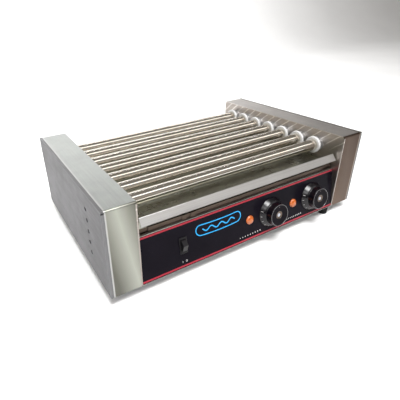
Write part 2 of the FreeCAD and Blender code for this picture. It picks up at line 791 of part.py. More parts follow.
def make_roller_bushes():
    """White bushes in the bores of both walls, each with a round collar that has a dished face.

    Those on the right stand off their wall, which leaves the rollers room to grow when hot.
    """
    inner = D["roller_radius"] + D["running_fit"]
    radius = D["bush_flange_radius"]
    shapes = []
    for stand, side, turn in ((D["bush_stand"], 1, 0), (0.0, -1, 180)):
        body = new_body(f"bush_prototype_{turn}")
        front = -stand - D["bush_flange"]
        section = new_sketch(body, "XZ_Plane")
        outline(section, [
            (front + 1, inner), (front + 1, radius - 3.6), (front, radius - 2.6), (front, radius - 1.4),
            (front + 0.4, radius - 0.4), (front + 1.4, radius), (-stand - 0.8, radius),
            (-stand, radius - 0.8), (-stand, D["bush_radius"]), (D["bush_sleeve"], D["bush_radius"]),
            (D["bush_sleeve"], inner)])
        revolve(body, section, "H_Axis")
        DOC.recompute()
        shapes += [moved(body.Shape, side * WALL, y, ROLLER_Z, angle=turn) for y in ROLLER_Y]
    group("roller_bushes", shapes)


def make_elements():
    """Static tubular heating elements, one through each roller, with insulated end studs."""
    length = 2 * D["element_reach"]
    rods = [cylinder(f"element_rod_{i}", D["element_radius"], length, (-D["element_reach"], y, ROLLER_Z), "X")
            for i, y in enumerate(ROLLER_Y, start=1)]
    DOC.recompute()
    group("heating_elements", [rod.Shape for rod in rods])

    proto = new_body("terminal_prototype")
    section = new_sketch(proto, "XZ_Plane")
    stud = D["stud_reach"] - D["element_reach"]
    outline(section, [(0, 0), (0, 5.5), (2.5, 5.5), (3, 4.6), (4, 4.6), (4.5, 5.5), (8, 5.5), (8, 2),
                      (stud, 2), (stud, 0)])
    revolve(proto, section, "H_Axis")
    DOC.recompute()
    shapes = []
    for side, turn in ((1, 0), (-1, 180)):
        shapes += [moved(proto.Shape, side * D["element_reach"], y, ROLLER_Z, angle=turn) for y in ROLLER_Y]
    group("element_terminals", shapes)


def make_element_bracket(name, side):
    """Hat-shaped strip spot-welded to the inner wall; it holds the elements' ends clear of the chain."""
    body = new_body(f"{name}_element_bracket", z=ROLLER_Z - D["bracket_height"] / 2)
    t = D["plate"]
    wall = side * (WALL + t)
    far = side * D["bracket_reach"]
    front = -D["bracket_front"]
    rear = D["bracket_rear"]
    plan = new_sketch(body, "XY_Plane")
    outline(plan, [
        (wall, front + 14), (wall, front - t), (far, front - t), (far, rear + t), (wall, rear + t),
        (wall, rear - 14),
        (wall + side * t, rear - 14), (wall + side * t, rear), (far - side * t, rear),
        (far - side * t, front), (wall + side * t, front), (wall + side * t, front + 14)])
    pad(body, plan, D["bracket_height"])
    holes = new_sketch(body, "YZ_Plane")
    for y in ROLLER_Y:
        circle(holes, y, D["bracket_height"] / 2, D["element_radius"] + 0.1)
    pocket(body, holes)
    node(body)


def make_busbar(label, side, rows):
    """Flat bar that joins the studs of neighbouring elements."""
    body = new_body(label, x=side * D["busbar_reach"], z=ROLLER_Z)
    sketch = new_sketch(body, "YZ_Plane")
    rectangle(sketch, rows[0] - 6, -5, rows[-1] + 6, 5)
    for y in rows:
        circle(sketch, y, 0, 2.05)
    pad(body, sketch, 1)
    node(body)


# ---------------------------------------------------------------- drive

def pitch_radius(teeth):
    return D["chain_pitch"] / (2 * math.sin(math.pi / teeth))


def chain_pins(motor_z):
    """Chain pin centres from the top of the last roller sprocket to the lowest point of the loop.

    The half loop is an arc on the roller sprocket, a straight run and an arc on the motor sprocket.
    Pins step along it one chord of the chain's pitch at a time.
    """
    big = float(pitch_radius(ROLLER_TEETH))
    small = float(pitch_radius(MOTOR_TEETH))
    step = float(D["chain_pitch"])
    y0, z0 = float(ROLLER_Y[-1]), float(ROLLER_Z)
    y1, z1 = float(D["row_middle"]), motor_z
    distance = math.hypot(y1 - y0, z1 - z0)
    heading = math.atan2(z1 - z0, y1 - y0)
    leave = heading + math.acos((big - small) / distance)
    wrap_big = math.pi / 2 - leave
    straight = math.sqrt(distance ** 2 - (big - small) ** 2)
    wrap_small = leave + math.pi / 2

    def point(s):
        if s < big * wrap_big:
            angle = math.pi / 2 - s / big
            return y0 + big * math.cos(angle), z0 + big * math.sin(angle)
        s -= big * wrap_big
        if s < straight:
            run = leave - math.pi / 2
            return (y0 + big * math.cos(leave) + s * math.cos(run),
                    z0 + big * math.sin(leave) + s * math.sin(run))
        angle = leave - (s - straight) / small
        return y1 + small * math.cos(angle), z1 + small * math.sin(angle)

    pins = [point(0)]
    s = 0.0
    row_links = round(float(D["roller_pitch"]) * (COUNT - 1) / step)
    for _ in range((CHAIN_LINKS - row_links) // 2):
        low, high = s + 0.5 * step, s + 1.5 * step
        for _ in range(50):
            middle = (low + high) / 2
            if math.dist(point(middle), pins[-1]) < step:
                low = middle
            else:
                high = middle
        s = (low + high) / 2
        pins.append(point(s))
    return pins, s - (big * wrap_big + straight + small * wrap_small)


def find_motor_height():
    """Height of the motor shaft at which the chain closes on a whole number of links."""
    low, high = 40.0, 110.0
    for _ in range(60):
        middle = (low + high) / 2
        if chain_pins(middle)[1] > 0:
            high = middle
        else:
            low = middle
    return (low + high) / 2


MOTOR_Z = find_motor_height()


def chain_loop():
    """Every pin of the closed chain, in order."""
    half, _ = chain_pins(MOTOR_Z)
    step = float(D["chain_pitch"])
    first = float(ROLLER_Y[0])
    row_links = round(float(D["roller_pitch"]) * (COUNT - 1) / step)
    top = [(first + i * step, half[0][1]) for i in range(row_links)]
    mirrored = [(2 * float(D["row_middle"]) - y, z) for y, z in reversed(half[1:-1])]
    return top + half + mirrored


def rod(radius, x0, x1, y, z):
    return Part.makeCylinder(radius, x1 - x0, V(x0, y, z), V(1, 0, 0))


def link_plate(start, end, x, thickness, radius):
    """A waisted side plate between two pins, as one closed outline pushed along X."""
    gap = math.dist(start, end)
    angle = math.degrees(math.atan2(end[1] - start[1], end[0] - start[0]))
    waist = 0.72 * radius
    left = Part.Arc(V(0, 0, radius), V(0, -radius, 0), V(0, 0, -radius))
    low = Part.Arc(V(0, 0, -radius), V(0, gap / 2, -waist), V(0, gap, -radius))
    right = Part.Arc(V(0, gap, -radius), V(0, gap + radius, 0), V(0, gap, radius))
    high = Part.Arc(V(0, gap, radius), V(0, gap / 2, waist), V(0, 0, radius))
    wire = Part.Wire([arc.toShape() for arc in (left, low, right, high)])
    plate = Part.Face(wire).extrude(V(thickness, 0, 0))
    return moved(plate, x, start[0], start[1], axis=V(1, 0, 0), angle=angle)


def make_chain():
    """Roller chain: inner links of two plates and two rollers, outer links of two plates and two pins."""
    pins = chain_loop()
    middle = -float(D["chain_plane"])
    links = []
    for i, start in enumerate(pins):
        end = pins[(i + 1) % len(pins)]
        outer = i % 2 == 1
        inner_face = 2.45 if outer else 1.6
        pieces = [link_plate(start, end, middle + inner_face, 0.75, 2.9),
                  link_plate(start, end, middle - inner_face - 0.75, 0.75, 2.9)]
        for y, z in (start, end):
            if outer:
                pieces.append(rod(1.1, middle - 3.6, middle + 3.6, y, z))
            else:
                pieces.append(rod(CHAIN_ROLLER, middle - 1.6, middle + 1.6, y, z))
        link = pieces[0].fuse(pieces[1:])
        if not outer:
            bores = [rod(1.15, middle - 5, middle + 5, y, z) for y, z in (start, end)]
            link = link.cut(bores)
        links.append(link.removeSplitter())
    group("drive_chain", links)


def make_sprocket(label, teeth, bore, hub_radius, hub_length, y, z, gap_angle):
    """Toothed disc with a hub on its wall side; one tooth gap stands at the given angle."""
    body = new_body(label, x=-D["chain_plane"], y=y, z=z, axis=V(1, 0, 0), angle=gap_angle)
    pitch_r = float(pitch_radius(teeth))
    outer = pitch_r + 1.6
    half_step = math.pi / teeth
    seat = CHAIN_ROLLER + 0.07
    mouth = (outer + 1) * math.sin(half_step) - 0.75
    disc = new_sketch(body, "YZ_Plane", -D["sprocket_thickness"] / 2)
    circle(disc, 0, 0, outer)
    pad(body, disc, D["sprocket_thickness"])
    hub = new_sketch(body, "YZ_Plane")
    circle(hub, 0, 0, hub_radius)
    pad(body, hub, hub_length)
    hole = new_sketch(body, "YZ_Plane")
    circle(hole, 0, 0, bore)
    pocket(body, hole)
    gap = new_sketch(body, "YZ_Plane", D["sprocket_thickness"] / 2)
    arc = Part.ArcOfCircle(Part.Circle(V(pitch_r, 0, 0), V(0, 0, 1), seat), math.pi / 2, 3 * math.pi / 2)
    corners = [(pitch_r, -seat), (outer + 1, -mouth), (outer + 1, mouth), (pitch_r, seat)]
    gap.addGeometry(arc, False)
    for start, end in zip(corners, corners[1:]):
        gap.addGeometry(Part.LineSegment(V(*start, 0), V(*end, 0)), False)
    cutter = pocket(body, gap, D["sprocket_thickness"])
    pattern = body.newObject("PartDesign::PolarPattern", f"{body.Name}_teeth")
    pattern.Originals = [cutter]
    pattern.Axis = (origin_item(body, "X_Axis"), [""])
    pattern.Angle = 360
    pattern.Occurrences = teeth
    body.Tip = pattern
    return node(body)


def make_drive():
    """Gear motor on the chassis side of the left wall, with its shaft and sprocket in the housing."""
    y = D["row_middle"]
    wall = -WALL
    plate = box("motor_plate", (wall, y - 42, MOTOR_Z - 32), (wall + 2, y + 42, MOTOR_Z + 32))
    holes = [cylinder(f"motor_plate_hole_{i}", SCREW_HOLE, 4, (wall - 1, y + dy, MOTOR_Z + dz), "X")
             for i, (dy, dz) in enumerate(MOTOR_SCREWS)]
    holes.append(cylinder("motor_plate_bore", 9, 4, (wall - 1, y, MOTOR_Z), "X"))
    node(cut("motor_bracket", plate, holes))

    gearbox = box("gearbox_case", (wall + 2, y - 27, MOTOR_Z - 27), (wall + 34, y + 27, MOTOR_Z + 21))
    bore = cylinder("gearbox_bore", 4.05, 20, (wall + 1, y, MOTOR_Z), "X")
    node(cut("motor_gearbox", gearbox, [bore]))

    stack = box("motor_stack", (wall + 34, y - 30, MOTOR_Z - 25), (wall + 58, y + 30, MOTOR_Z + 23))
    coil = box("motor_coil", (wall + 36, y - 18, MOTOR_Z + 20), (wall + 72, y + 18, MOTOR_Z + 34))
    tail = cylinder("motor_tail", 14, 22, (wall + 57, y, MOTOR_Z - 3), "X")
    node(fused("drive_motor", [stack, coil, tail]))

    reach = D["chain_plane"] + 6
    node(cylinder("motor_shaft", 4, reach - WALL + 20, (-reach, y, MOTOR_Z), "X"))
    make_sprocket("drive_sprocket", MOTOR_TEETH, 4, 7.5, 11, y, MOTOR_Z, -90.0)
    for number, roller_y in enumerate(ROLLER_Y, start=1):
        make_sprocket(f"sprocket_{number}", ROLLER_TEETH, D["roller_radius"], 15, 11,
                      roller_y, ROLLER_Z, 90.0)


# ---------------------------------------------------------------- electrical bay, feet, screws

def make_terminal_block():
    x0 = D["gland_x"] - 40
    block = box("terminal_body", (x0, 120, BASE_TOP), (x0 + 60, 142, BASE_TOP + 20))
    wells = []
    for i in range(3):
        left = x0 + 4 + i * 18.5
        wells.append(box(f"terminal_well_{i}", (left, 118, BASE_TOP + 10), (left + 15, 131, BASE_TOP + 21)))
    node(cut("terminal_block", block, wells))


def wire(points, radius):
    """A round wire: straight runs joined by tangent arcs, each as large as its two runs allow."""
    corners = [V(*map(float, point)) for point in points]
    edges = []
    start = corners[0]
    for before, corner, after in zip(corners, corners[1:], corners[2:]):
        arrive = (corner - before).normalize()
        depart = (after - corner).normalize()
        half_turn = arrive.getAngle(depart) / 2
        trim = 0.45 * min(before.distanceToPoint(corner), corner.distanceToPoint(after))
        arc_radius = trim / math.tan(half_turn)
        inward = (depart - arrive).normalize()
        first = corner - arrive * trim
        middle = corner + inward * (arc_radius / math.cos(half_turn) - arc_radius)
        last = corner + depart * trim
        edges.append(Part.LineSegment(start, first).toShape())
        edges.append(Part.Arc(first, middle, last).toShape())
        start = last
    edges.append(Part.LineSegment(start, corners[-1]).toShape())
    profile = Part.Wire(Part.Circle(corners[0], corners[1] - corners[0], radius).toShape())
    return Part.Wire(edges).makePipeShell([profile], True, False)


def behind_panel(x, line, depth, slack):
    """The end of a tab behind the panel, and the point that a wire reaches it from."""
    points = []
    for reach in (depth, depth + slack):
        spot = on_panel(x, line, -reach)
        points.append((spot["x"], spot["y"], spot["z"]))
    return points


def make_wiring():
    """Insulated wires between the terminal block, switch, thermostats, motor and element busbars."""
    switch = [behind_panel(D["rocker_x"], D["rocker_line"] + step, 30 - D["film"], 18)
              for step in BLADE_STEPS]
    tabs = {(n, step): behind_panel(D[f"knob_{n}_x"] + step, D["control_line"], D["skin"] + 38, 18)
            for n in (1, 2) for step in TAB_STEPS}
    low = BASE_TOP + 4.5
    block_x = D["gland_x"] - 40
    bar_under = ROLLER_Z - 5
    outboard = D["busbar_reach"] + 0.5
    grommet_y, grommet_z = GROMMET
    sill = WALL + 14
    motor_lead = MOTOR_Z + 30
    routes = [
        # live from the terminal block to the switch
        [(block_x + 11.5, 131, low + 10), (block_x + 11.5, 104, low + 10), (block_x + 6, 78, low),
         (block_x, 18, low), (block_x - 8, -42, low), (block_x - 40, -88, low), (60, -108, low),
         (0, -113, low), (-60, -112, low), (-112, -108, low + 6), (-142, -112, low + 18),
         switch[1][1], switch[1][0]],
        # switched live to the first thermostat, and on to the second
        [switch[0][0], switch[0][1], (-130, -122, 42), (-80, -119, 34), (-20, -119, 34), (22, -117, 42),
         tabs[1, -12][1], tabs[1, -12][0]],
        [tabs[1, 0][0], tabs[1, 0][1], (76, -110, 44), (110, -108, 40), (140, -111, 44),
         tabs[2, -12][1], tabs[2, -12][0]],
        # each thermostat through the right wall to its own busbar
        [tabs[1, 12][0], tabs[1, 12][1], (92, -115, 60), (140, -117, 66),
         (190, grommet_y - 3, grommet_z), (sill, grommet_y - 3, grommet_z),
         (outboard - 9, grommet_y - 3, grommet_z + 8), (outboard, grommet_y + 8, grommet_z + 34),
         (outboard, grommet_y + 8, bar_under)],
        [tabs[2, 12][0], tabs[2, 12][1], (200, -114, 62), (222, grommet_y + 3, grommet_z),
         (sill + 4, grommet_y + 3, grommet_z), (outboard - 2, grommet_y + 14, grommet_z + 2),
         (outboard - 1, -50, grommet_z + 10), (outboard, 10, grommet_z + 18),
         (outboard, 62, grommet_z + 40), (outboard, 62, bar_under)],
        # neutral from the terminal block through the left wall to the common busbar
        [(block_x + 48.5, 131, low + 10), (block_x + 48.5, 106, low + 10), (block_x + 30, 84, low + 3.5),
         (80, 74, low + 3.5), (20, 66, low + 3.5), (-40, 40, low + 3.5), (-92, 0, low + 3.5),
         (-124, -48, low + 6), (-158, -88, low + 16), (-190, grommet_y + 6, 62),
         (-sill + 22, grommet_y, grommet_z), (-sill - 10, grommet_y, grommet_z),
         (-outboard + 8, grommet_y + 1, grommet_z + 8), (-outboard, grommet_y + 12, grommet_z + 34),
         (-outboard, grommet_y + 12, bar_under)],
        # switched live to the motor
        [switch[2][0], switch[2][1], (-144, -116, 54), (-138, -70, 48), (-138, -30, 60), (-144, 2, 80),
         (D["row_middle"] - 158, D["row_middle"], motor_lead), (-WALL + 72, D["row_middle"], motor_lead)],
    ]
    group("wiring_loom", [wire(route, 1.3) for route in routes])


def make_cable_gland(reach):
    """Screwed gland in the rear panel; its bore is the only way in for the mains cable."""
    body = new_body("cable_gland", x=D["gland_x"], y=HALF_DEPTH, z=D["gland_height"],
                    axis=V(1, 0, 0), angle=-90)
    bore = D["gland_bore"]
    back = -D["skin"]
    section = new_sketch(body, "XZ_Plane")
    outline(section, [(bore, back - 10), (10, back - 10), (10, back - 7), (13.5, back - 7), (13.5, back),
                      (10.1, back), (10.1, 0), (13.5, 0), (13.5, 6), (11.5, 6.5), (12.5, 7.5), (12.5, 14),
                      (9, reach), (bore, reach)])
    revolve(body, section, "V_Axis")
    node(body)


def foot_seats():
    """Centres of the four feet: the two under the drive housing's side stand further in."""
    seats = [(D["foot_x"], sy * D["foot_y"]) for sy in (-1, 1)]
    return seats + [(-D["foot_x"], sy * (D["foot_y"] - D["foot_inset"])) for sy in (-1, 1)]


def make_feet():
    """Rubber feet, recessed for the screw that holds each one under the base plate."""
    proto = new_body("foot_prototype")
    section = new_sketch(proto, "XZ_Plane")
    high = D["foot_height"]
    outline(section, [(6, 0), (8.8, 0), (9.5, 0.8), (10.5, high), (2.7, high), (2.7, 13), (6, 13)])
    revolve(proto, section, "V_Axis")
    screw = new_body("foot_screw_prototype")
    profile = new_sketch(screw, "XZ_Plane")
    outline(profile, [(0, 9.5), (3.6, 9.5), (4.8, 10.8), (4.8, 13), (2.5, 13), (2.5, 31), (0, 31)])
    revolve(screw, profile, "V_Axis")
    nut = new_body("foot_nut_prototype")
    sketch = new_sketch(nut, "XY_Plane", BASE_TOP)
    outline(sketch, hexagon(4.6))
    circle(sketch, 0, 0, 2.55)
    pad(nut, sketch, 4)
    DOC.recompute()
    seats = foot_seats()
    for label, part in (("rubber_feet", proto), ("foot_screws", screw), ("foot_nuts", nut)):
        group(label, [moved(part.Shape, x, y, 0) for x, y in seats])


def make_screws():
    """Pan-head M4 screws with a cross recess, wherever sheets are joined."""
    proto = new_body("screw_prototype")
    section = new_sketch(proto, "XZ_Plane")
    outline(section, [(0, 2.4), (2.2, 2.4), (3.2, 1.7), (3.6, 0.6), (3.6, 0), (2, 0), (2, -6.4),
                      (1.4, -7), (0, -7)])
    revolve(proto, section, "V_Axis")
    for half_x, half_y in ((1.9, 0.45), (0.45, 1.9)):
        slot = new_sketch(proto, "XY_Plane", 2.5)
        rectangle(slot, -half_x, -half_y, half_x, half_y)
        pocket(proto, slot, 1.5)
    DOC.recompute()

    under = [(x, -HALF_DEPTH + PANEL_SCREW_INSET, UNDER) for x in PANEL_SCREWS_X]
    rear = []
    for side in (-1, 1):
        under += [(side * (WALL + 8), y, BASE) for y in FLANGE_SCREWS_Y]
        under += [(side * (HALF_WIDTH - 8), y, UNDER) for y in FLANGE_SCREWS_Y]
        rear += [(side * (WALL - 6), HALF_DEPTH, z) for z in REAR_SCREWS_Z]
    motor = [(-WALL - D["plate"], D["row_middle"] + dy, MOTOR_Z + dz) for dy, dz in MOTOR_SCREWS]
    shapes = [moved(proto.Shape, *seat, axis=V(1, 0, 0), angle=180) for seat in under]
    shapes += [moved(proto.Shape, *seat, axis=V(1, 0, 0), angle=-90) for seat in rear]
    shapes += [moved(proto.Shape, *seat, axis=V(0, 1, 0), angle=-90) for seat in motor]
    group("sheet_screws", shapes)


def make_wall_fittings():
    """Rivets that hold the tray runners, and the tubes that space the right bushes off their wall."""
    rivet = new_body("rivet_prototype")
    profile = new_sketch(rivet, "XZ_Plane")
    outline(profile, [(0, 1), (2, 1), (3, 0), (1.6, 0), (1.6, -3.6), (0, -3.6)])
    revolve(rivet, profile, "V_Axis")
    spacer = new_body("spacer_prototype")
    ring = new_sketch(spacer, "YZ_Plane", WALL - D["bush_stand"])
    circle(ring, 0, 0, D["bush_radius"] + 1.2)
    circle(ring, 0, 0, D["bush_radius"] + D["running_fit"])
    pad(spacer, ring, D["bush_stand"])
    DOC.recompute()
    shapes = [moved(spacer.Shape, 0, y, ROLLER_Z) for y in ROLLER_Y]
    for side in (-1, 1):
        outer = side * (WALL + D["plate"])
        shapes += [moved(rivet.Shape, outer, y, RIVET_Z, axis=V(0, 1, 0), angle=90 * side)
                   for y in RUNNER_RIVETS_Y]
    group("wall_fittings", shapes)


# ---------------------------------------------------------------- assembly

def build():
    make_base_plate()
    for name, side in SIDES.items():
        make_inner_wall(name, side)
        make_housing_shell(name, side)
        make_side_cover(name, side)
        make_element_bracket(name, side)
    make_edge_seals()
    make_rear_panel()
    make_control_panel()
    make_panel_overlay()
    for number in (1, 2):
        make_thermostat(number)
        make_spindle(number)
        make_knob(number)
        make_pilot_light(number)
    make_rocker()
    make_drip_tray()
    make_tray_runners()
    make_heat_shield()
    make_rollers()
    make_roller_bushes()
    make_elements()
    make_busbar("neutral_busbar", -1, ROLLER_Y)
    make_busbar("front_zone_busbar", 1, ROLLER_Y[:4])
    make_busbar("rear_zone_busbar", 1, ROLLER_Y[4:])
    make_drive()
    make_chain()
    make_terminal_block()
    make_wiring()
    DOC.recompute()
    knob_front = NODES["knob_1"].Shape.BoundBox.YMin
    make_cable_gland(-knob_front - float(HALF_DEPTH))
    make_feet()
    make_screws()
    make_wall_fittings()
    DOC.recompute()


def check():
    """Stops before anything is written if a feature failed or a piece is not a valid solid."""
    for obj in DOC.Objects:
        if "Invalid" in obj.State or "Error" in obj.State:
            raise ValueError(f"{obj.Label}: {obj.State}")
    for label, obj in NODES.items():
        shape = obj.Shape
        if shape.isNull() or not shape.isValid() or not shape.Solids:
            raise ValueError(f"{label} has no valid shape")


build()
check()
os.makedirs("parts", exist_ok=True)
for label, obj in NODES.items():
    obj.Shape.exportStep(f"parts/{label}.step")
print(len(NODES), "nodes, motor shaft height", round(MOTOR_Z, 2))
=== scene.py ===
"""Looks of the hot dog roller grill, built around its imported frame, in metres."""
import json
import math

import bmesh
import bpy
from mathutils import Matrix, Vector

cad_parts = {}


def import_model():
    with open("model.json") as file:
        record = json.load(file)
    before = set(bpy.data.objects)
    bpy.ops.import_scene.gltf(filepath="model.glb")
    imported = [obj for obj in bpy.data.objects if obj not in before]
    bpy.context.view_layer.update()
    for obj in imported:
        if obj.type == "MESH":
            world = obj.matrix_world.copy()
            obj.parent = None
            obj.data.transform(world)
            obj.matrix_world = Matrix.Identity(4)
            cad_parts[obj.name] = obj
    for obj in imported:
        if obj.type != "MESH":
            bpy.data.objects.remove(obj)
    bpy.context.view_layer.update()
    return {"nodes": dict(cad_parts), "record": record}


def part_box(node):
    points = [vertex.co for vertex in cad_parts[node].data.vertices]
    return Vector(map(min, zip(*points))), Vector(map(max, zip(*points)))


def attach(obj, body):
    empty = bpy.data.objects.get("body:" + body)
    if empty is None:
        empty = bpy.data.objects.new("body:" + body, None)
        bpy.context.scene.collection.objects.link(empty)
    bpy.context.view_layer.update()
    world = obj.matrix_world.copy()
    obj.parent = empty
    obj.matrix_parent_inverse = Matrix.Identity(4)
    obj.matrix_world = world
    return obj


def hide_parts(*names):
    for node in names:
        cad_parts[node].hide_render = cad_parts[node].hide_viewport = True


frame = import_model()

MM = 0.001

# The control panel leans back. Its printed film starts a little above the panel's foot, the knobs
# and lights stand on the control line, and the print is raised by the thickness of its ink.
TILT = math.radians(9.6)
UP_PANEL = Vector((0, math.sin(TILT), math.cos(TILT)))
OUT_OF_PANEL = Vector((0, -math.cos(TILT), math.sin(TILT)))
FILM = 0.4 * MM
FILM_LOW = 0.8 * MM
CONTROL_LINE = 43 * MM
INK = 0.06 * MM

film_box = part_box("panel_overlay")
film_foot = (Vector((0, film_box[0].y, film_box[0].z)) - UP_PANEL * FILM_LOW
             + Vector((0, 0, FILM * math.sin(TILT))))


def film_place(x, line):
    """A placement with Z out of the film and Y up it: x along it, line up it from the panel's foot."""
    spot = Vector((x, 0, 0)) + film_foot + UP_PANEL * line
    return Matrix((
        (1, UP_PANEL.x, OUT_OF_PANEL.x, spot.x),
        (0, UP_PANEL.y, OUT_OF_PANEL.y, spot.y),
        (0, UP_PANEL.z, OUT_OF_PANEL.z, spot.z),
        (0, 0, 0, 1)))


def middle_x(node):
    low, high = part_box(node)
    return (low.x + high.x) / 2


# ---------------------------------------------------------------- materials

# Colour sockets of a mix node: its two inputs and its result.
MIX_A = 6
MIX_B = 7
MIX_RESULT = 2


def shade(color, factor):
    return tuple(min(1.0, channel * factor) for channel in color)


class Look:
    """A procedural material with its patterns in the grill's own frame, in cycles per metre."""

    def __init__(self, name, metallic=0.0, **constants):
        self.material = bpy.data.materials.new(name)
        self.material.use_nodes = True
        self.tree = self.material.node_tree
        self.shader = self.tree.nodes["Principled BSDF"]
        self.place = self.add("ShaderNodeTexCoord").outputs["Object"]
        self.normal = None
        self.put("Metallic", metallic)
        for socket, value in constants.items():
            self.put(socket.replace("_", " "), value)

    def add(self, kind, **settings):
        node = self.tree.nodes.new(kind)
        for key, value in settings.items():
            setattr(node, key, value)
        return node

    def feed(self, target, value):
        """Links a pattern to a socket, or sets the socket to a constant."""
        if isinstance(value, bpy.types.NodeSocket):
            self.tree.links.new(value, target)
        elif isinstance(value, tuple):
            target.default_value = (*value, 1)
        else:
            target.default_value = value

    def put(self, socket, value):
        """Feeds one of the shader's own sockets."""
        self.feed(self.shader.inputs[socket], value)

    def noise(self, stretch, detail=3.0, rough=0.5, distortion=0.0, offset=(0, 0, 0)):
        """Noise with a stretch that is one number, or one for each axis."""
        if isinstance(stretch, (int, float)):
            stretch = (stretch,) * 3
        mapping = self.add("ShaderNodeMapping")
        mapping.inputs["Scale"].default_value = stretch
        mapping.inputs["Location"].default_value = offset
        self.feed(mapping.inputs["Vector"], self.place)
        node = self.add("ShaderNodeTexNoise")
        for socket, value in (("Vector", mapping.outputs["Vector"]), ("Scale", 1.0),
                              ("Detail", detail), ("Roughness", rough), ("Distortion", distortion)):
            self.feed(node.inputs[socket], value)
        return node.outputs["Fac"]

    def cells(self, scale):
        node = self.add("ShaderNodeTexVoronoi", feature="F1")
        self.feed(node.inputs["Vector"], self.place)
        self.feed(node.inputs["Scale"], scale)
        return node.outputs["Distance"]

    def axis(self, name):
        node = self.add("ShaderNodeSeparateXYZ")
        self.feed(node.inputs[0], self.place)
        return node.outputs[name]

    def spread(self, value, low, high, to_low=0.0, to_high=1.0):
        """The value with low to high drawn out to to_low to to_high, and held there beyond."""
        node = self.add("ShaderNodeMapRange", clamp=True)
        for socket, number in (("Value", value), ("From Min", low), ("From Max", high),
                               ("To Min", to_low), ("To Max", to_high)):
            self.feed(node.inputs[socket], number)
        return node.outputs["Result"]

    def reckon(self, operation, *values):
        node = self.add("ShaderNodeMath", operation=operation)
        for target, value in zip(node.inputs, values):
            self.feed(target, value)
        return node.outputs["Value"]

    def times(self, a, b):
        return self.reckon("MULTIPLY", a, b)

    def sum(self, *terms):
        """Adds weighted patterns: each term is a value or a (pattern, weight) pair."""
        total = None
        for term in terms:
            if isinstance(term, tuple):
                term = self.times(*term)
            total = term if total is None else self.reckon("ADD", total, term)
        return total

    def mix(self, factor, a, b):
        node = self.add("ShaderNodeMix", data_type="RGBA")
        self.feed(node.inputs[0], factor)
        self.feed(node.inputs[MIX_A], a)
        self.feed(node.inputs[MIX_B], b)
        return node.outputs[MIX_RESULT]

    def mottled(self, pattern, color, dark, light, low=0.3, high=0.7):
        """The colour, from a dark to a light shade of itself as the pattern goes."""
        return self.mix(self.spread(pattern, low, high), shade(color, dark), shade(color, light))

    def bump(self, height, distance, strength=1.0):
        """Raises the surface by a pattern, on top of any bump that it already has."""
        node = self.add("ShaderNodeBump")
        self.feed(node.inputs["Strength"], strength)
        self.feed(node.inputs["Distance"], distance)
        self.feed(node.inputs["Height"], height)
        if self.normal:
            self.feed(node.inputs["Normal"], self.normal)
        self.normal = node.outputs["Normal"]
        self.put("Normal", self.normal)


# Faces and edges of the sheets, and how far in from an edge the painted edge light starts and is full.
FRONT_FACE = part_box("left_housing_shell")[0].y + 3 * MM
OUTER_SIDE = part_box("right_housing_shell")[1].x
COVER_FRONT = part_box("left_side_cover")[0].y
COVER_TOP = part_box("left_side_cover")[1].z
EDGE_FAINT = 3 * MM
EDGE_FULL = 1.5 * MM

# Where the painted reflection on the front faces turns from its low to its high colour, how far its painted
# highlight band leans, and where the painted roller reflections, the tray pan's painted shade and the
# rollers' heat tint begin and are full.
FRONT_REFLECTION_Z = (45 * MM, 165 * MM)
BAND_SLANT = 0.19
ROLLER_REFLECTION_Z = (140 * MM, 160 * MM)
PAN_Y = (-170.4 * MM, -169.6 * MM)
HEAT_TINT_X = (160 * MM, 232 * MM)


def painted_front_reflection(look, tint, streak, cloud, low, high, lit_tone, centre, half):
    """Painted reflection and shade on a housing's front face: low and high colours with height, and a
    painted highlight band up it.
    """
    painted_front = look.mix(look.spread(look.sum(look.axis("Z"), (cloud, 40 * MM)), *FRONT_REFLECTION_Z), low, high)
    painted_front = look.mix(look.spread(streak, 0.3, 0.7, 0, 0.5), painted_front, shade(high, 1.15))
    off_band = look.sum(look.axis("X"), -centre, (look.axis("Z"), BAND_SLANT), (cloud, 6 * MM))
    painted_front = look.mix(look.spread(look.reckon("ABSOLUTE", off_band), 0, half, 0.85, 0), painted_front, lit_tone)
    return look.mix(look.spread(look.axis("Y"), FRONT_FACE, FRONT_FACE + 2 * MM), painted_front, tint)


def painted_light_on_bend(look, tint, color):
    """The bend over a housing's outer side in a colour of its own: painted light and shade on the bend."""
    outward = look.reckon("ABSOLUTE", look.axis("X"))
    return look.mix(look.spread(outward, OUTER_SIDE - EDGE_FAINT, OUTER_SIDE - EDGE_FULL), tint, color)


def painted_roller_reflections(look, tint, cloud, grease, spacing, slant, bright):
    """Painted reflections of the rollers: slanted bright lines on the upper part of an inner wall."""
    turns = look.sum((look.axis("Y"), 1 / spacing), (look.axis("Z"), slant / spacing), (cloud, 0.5))
    off_line = look.reckon("ABSOLUTE", look.sum(look.reckon("FRACT", turns), -0.5))
    line = look.times(look.spread(off_line, 0.02, 0.12, 0.8, 0), look.spread(grease, 0.3, 0.5))
    return look.mix(look.times(line, look.spread(look.axis("Z"), *ROLLER_REFLECTION_Z)), tint, bright)


def painted_rim_highlight(look, tint, color):
    """Painted highlight on the front and top edges of a side cover, in a colour of their own."""
    edges = look.sum(look.spread(look.axis("Y"), COVER_FRONT + EDGE_FAINT, COVER_FRONT + EDGE_FULL),
                     look.spread(look.axis("Z"), COVER_TOP - EDGE_FAINT, COVER_TOP - EDGE_FULL))
    return look.mix(look.spread(edges, 0, 1), tint, color)


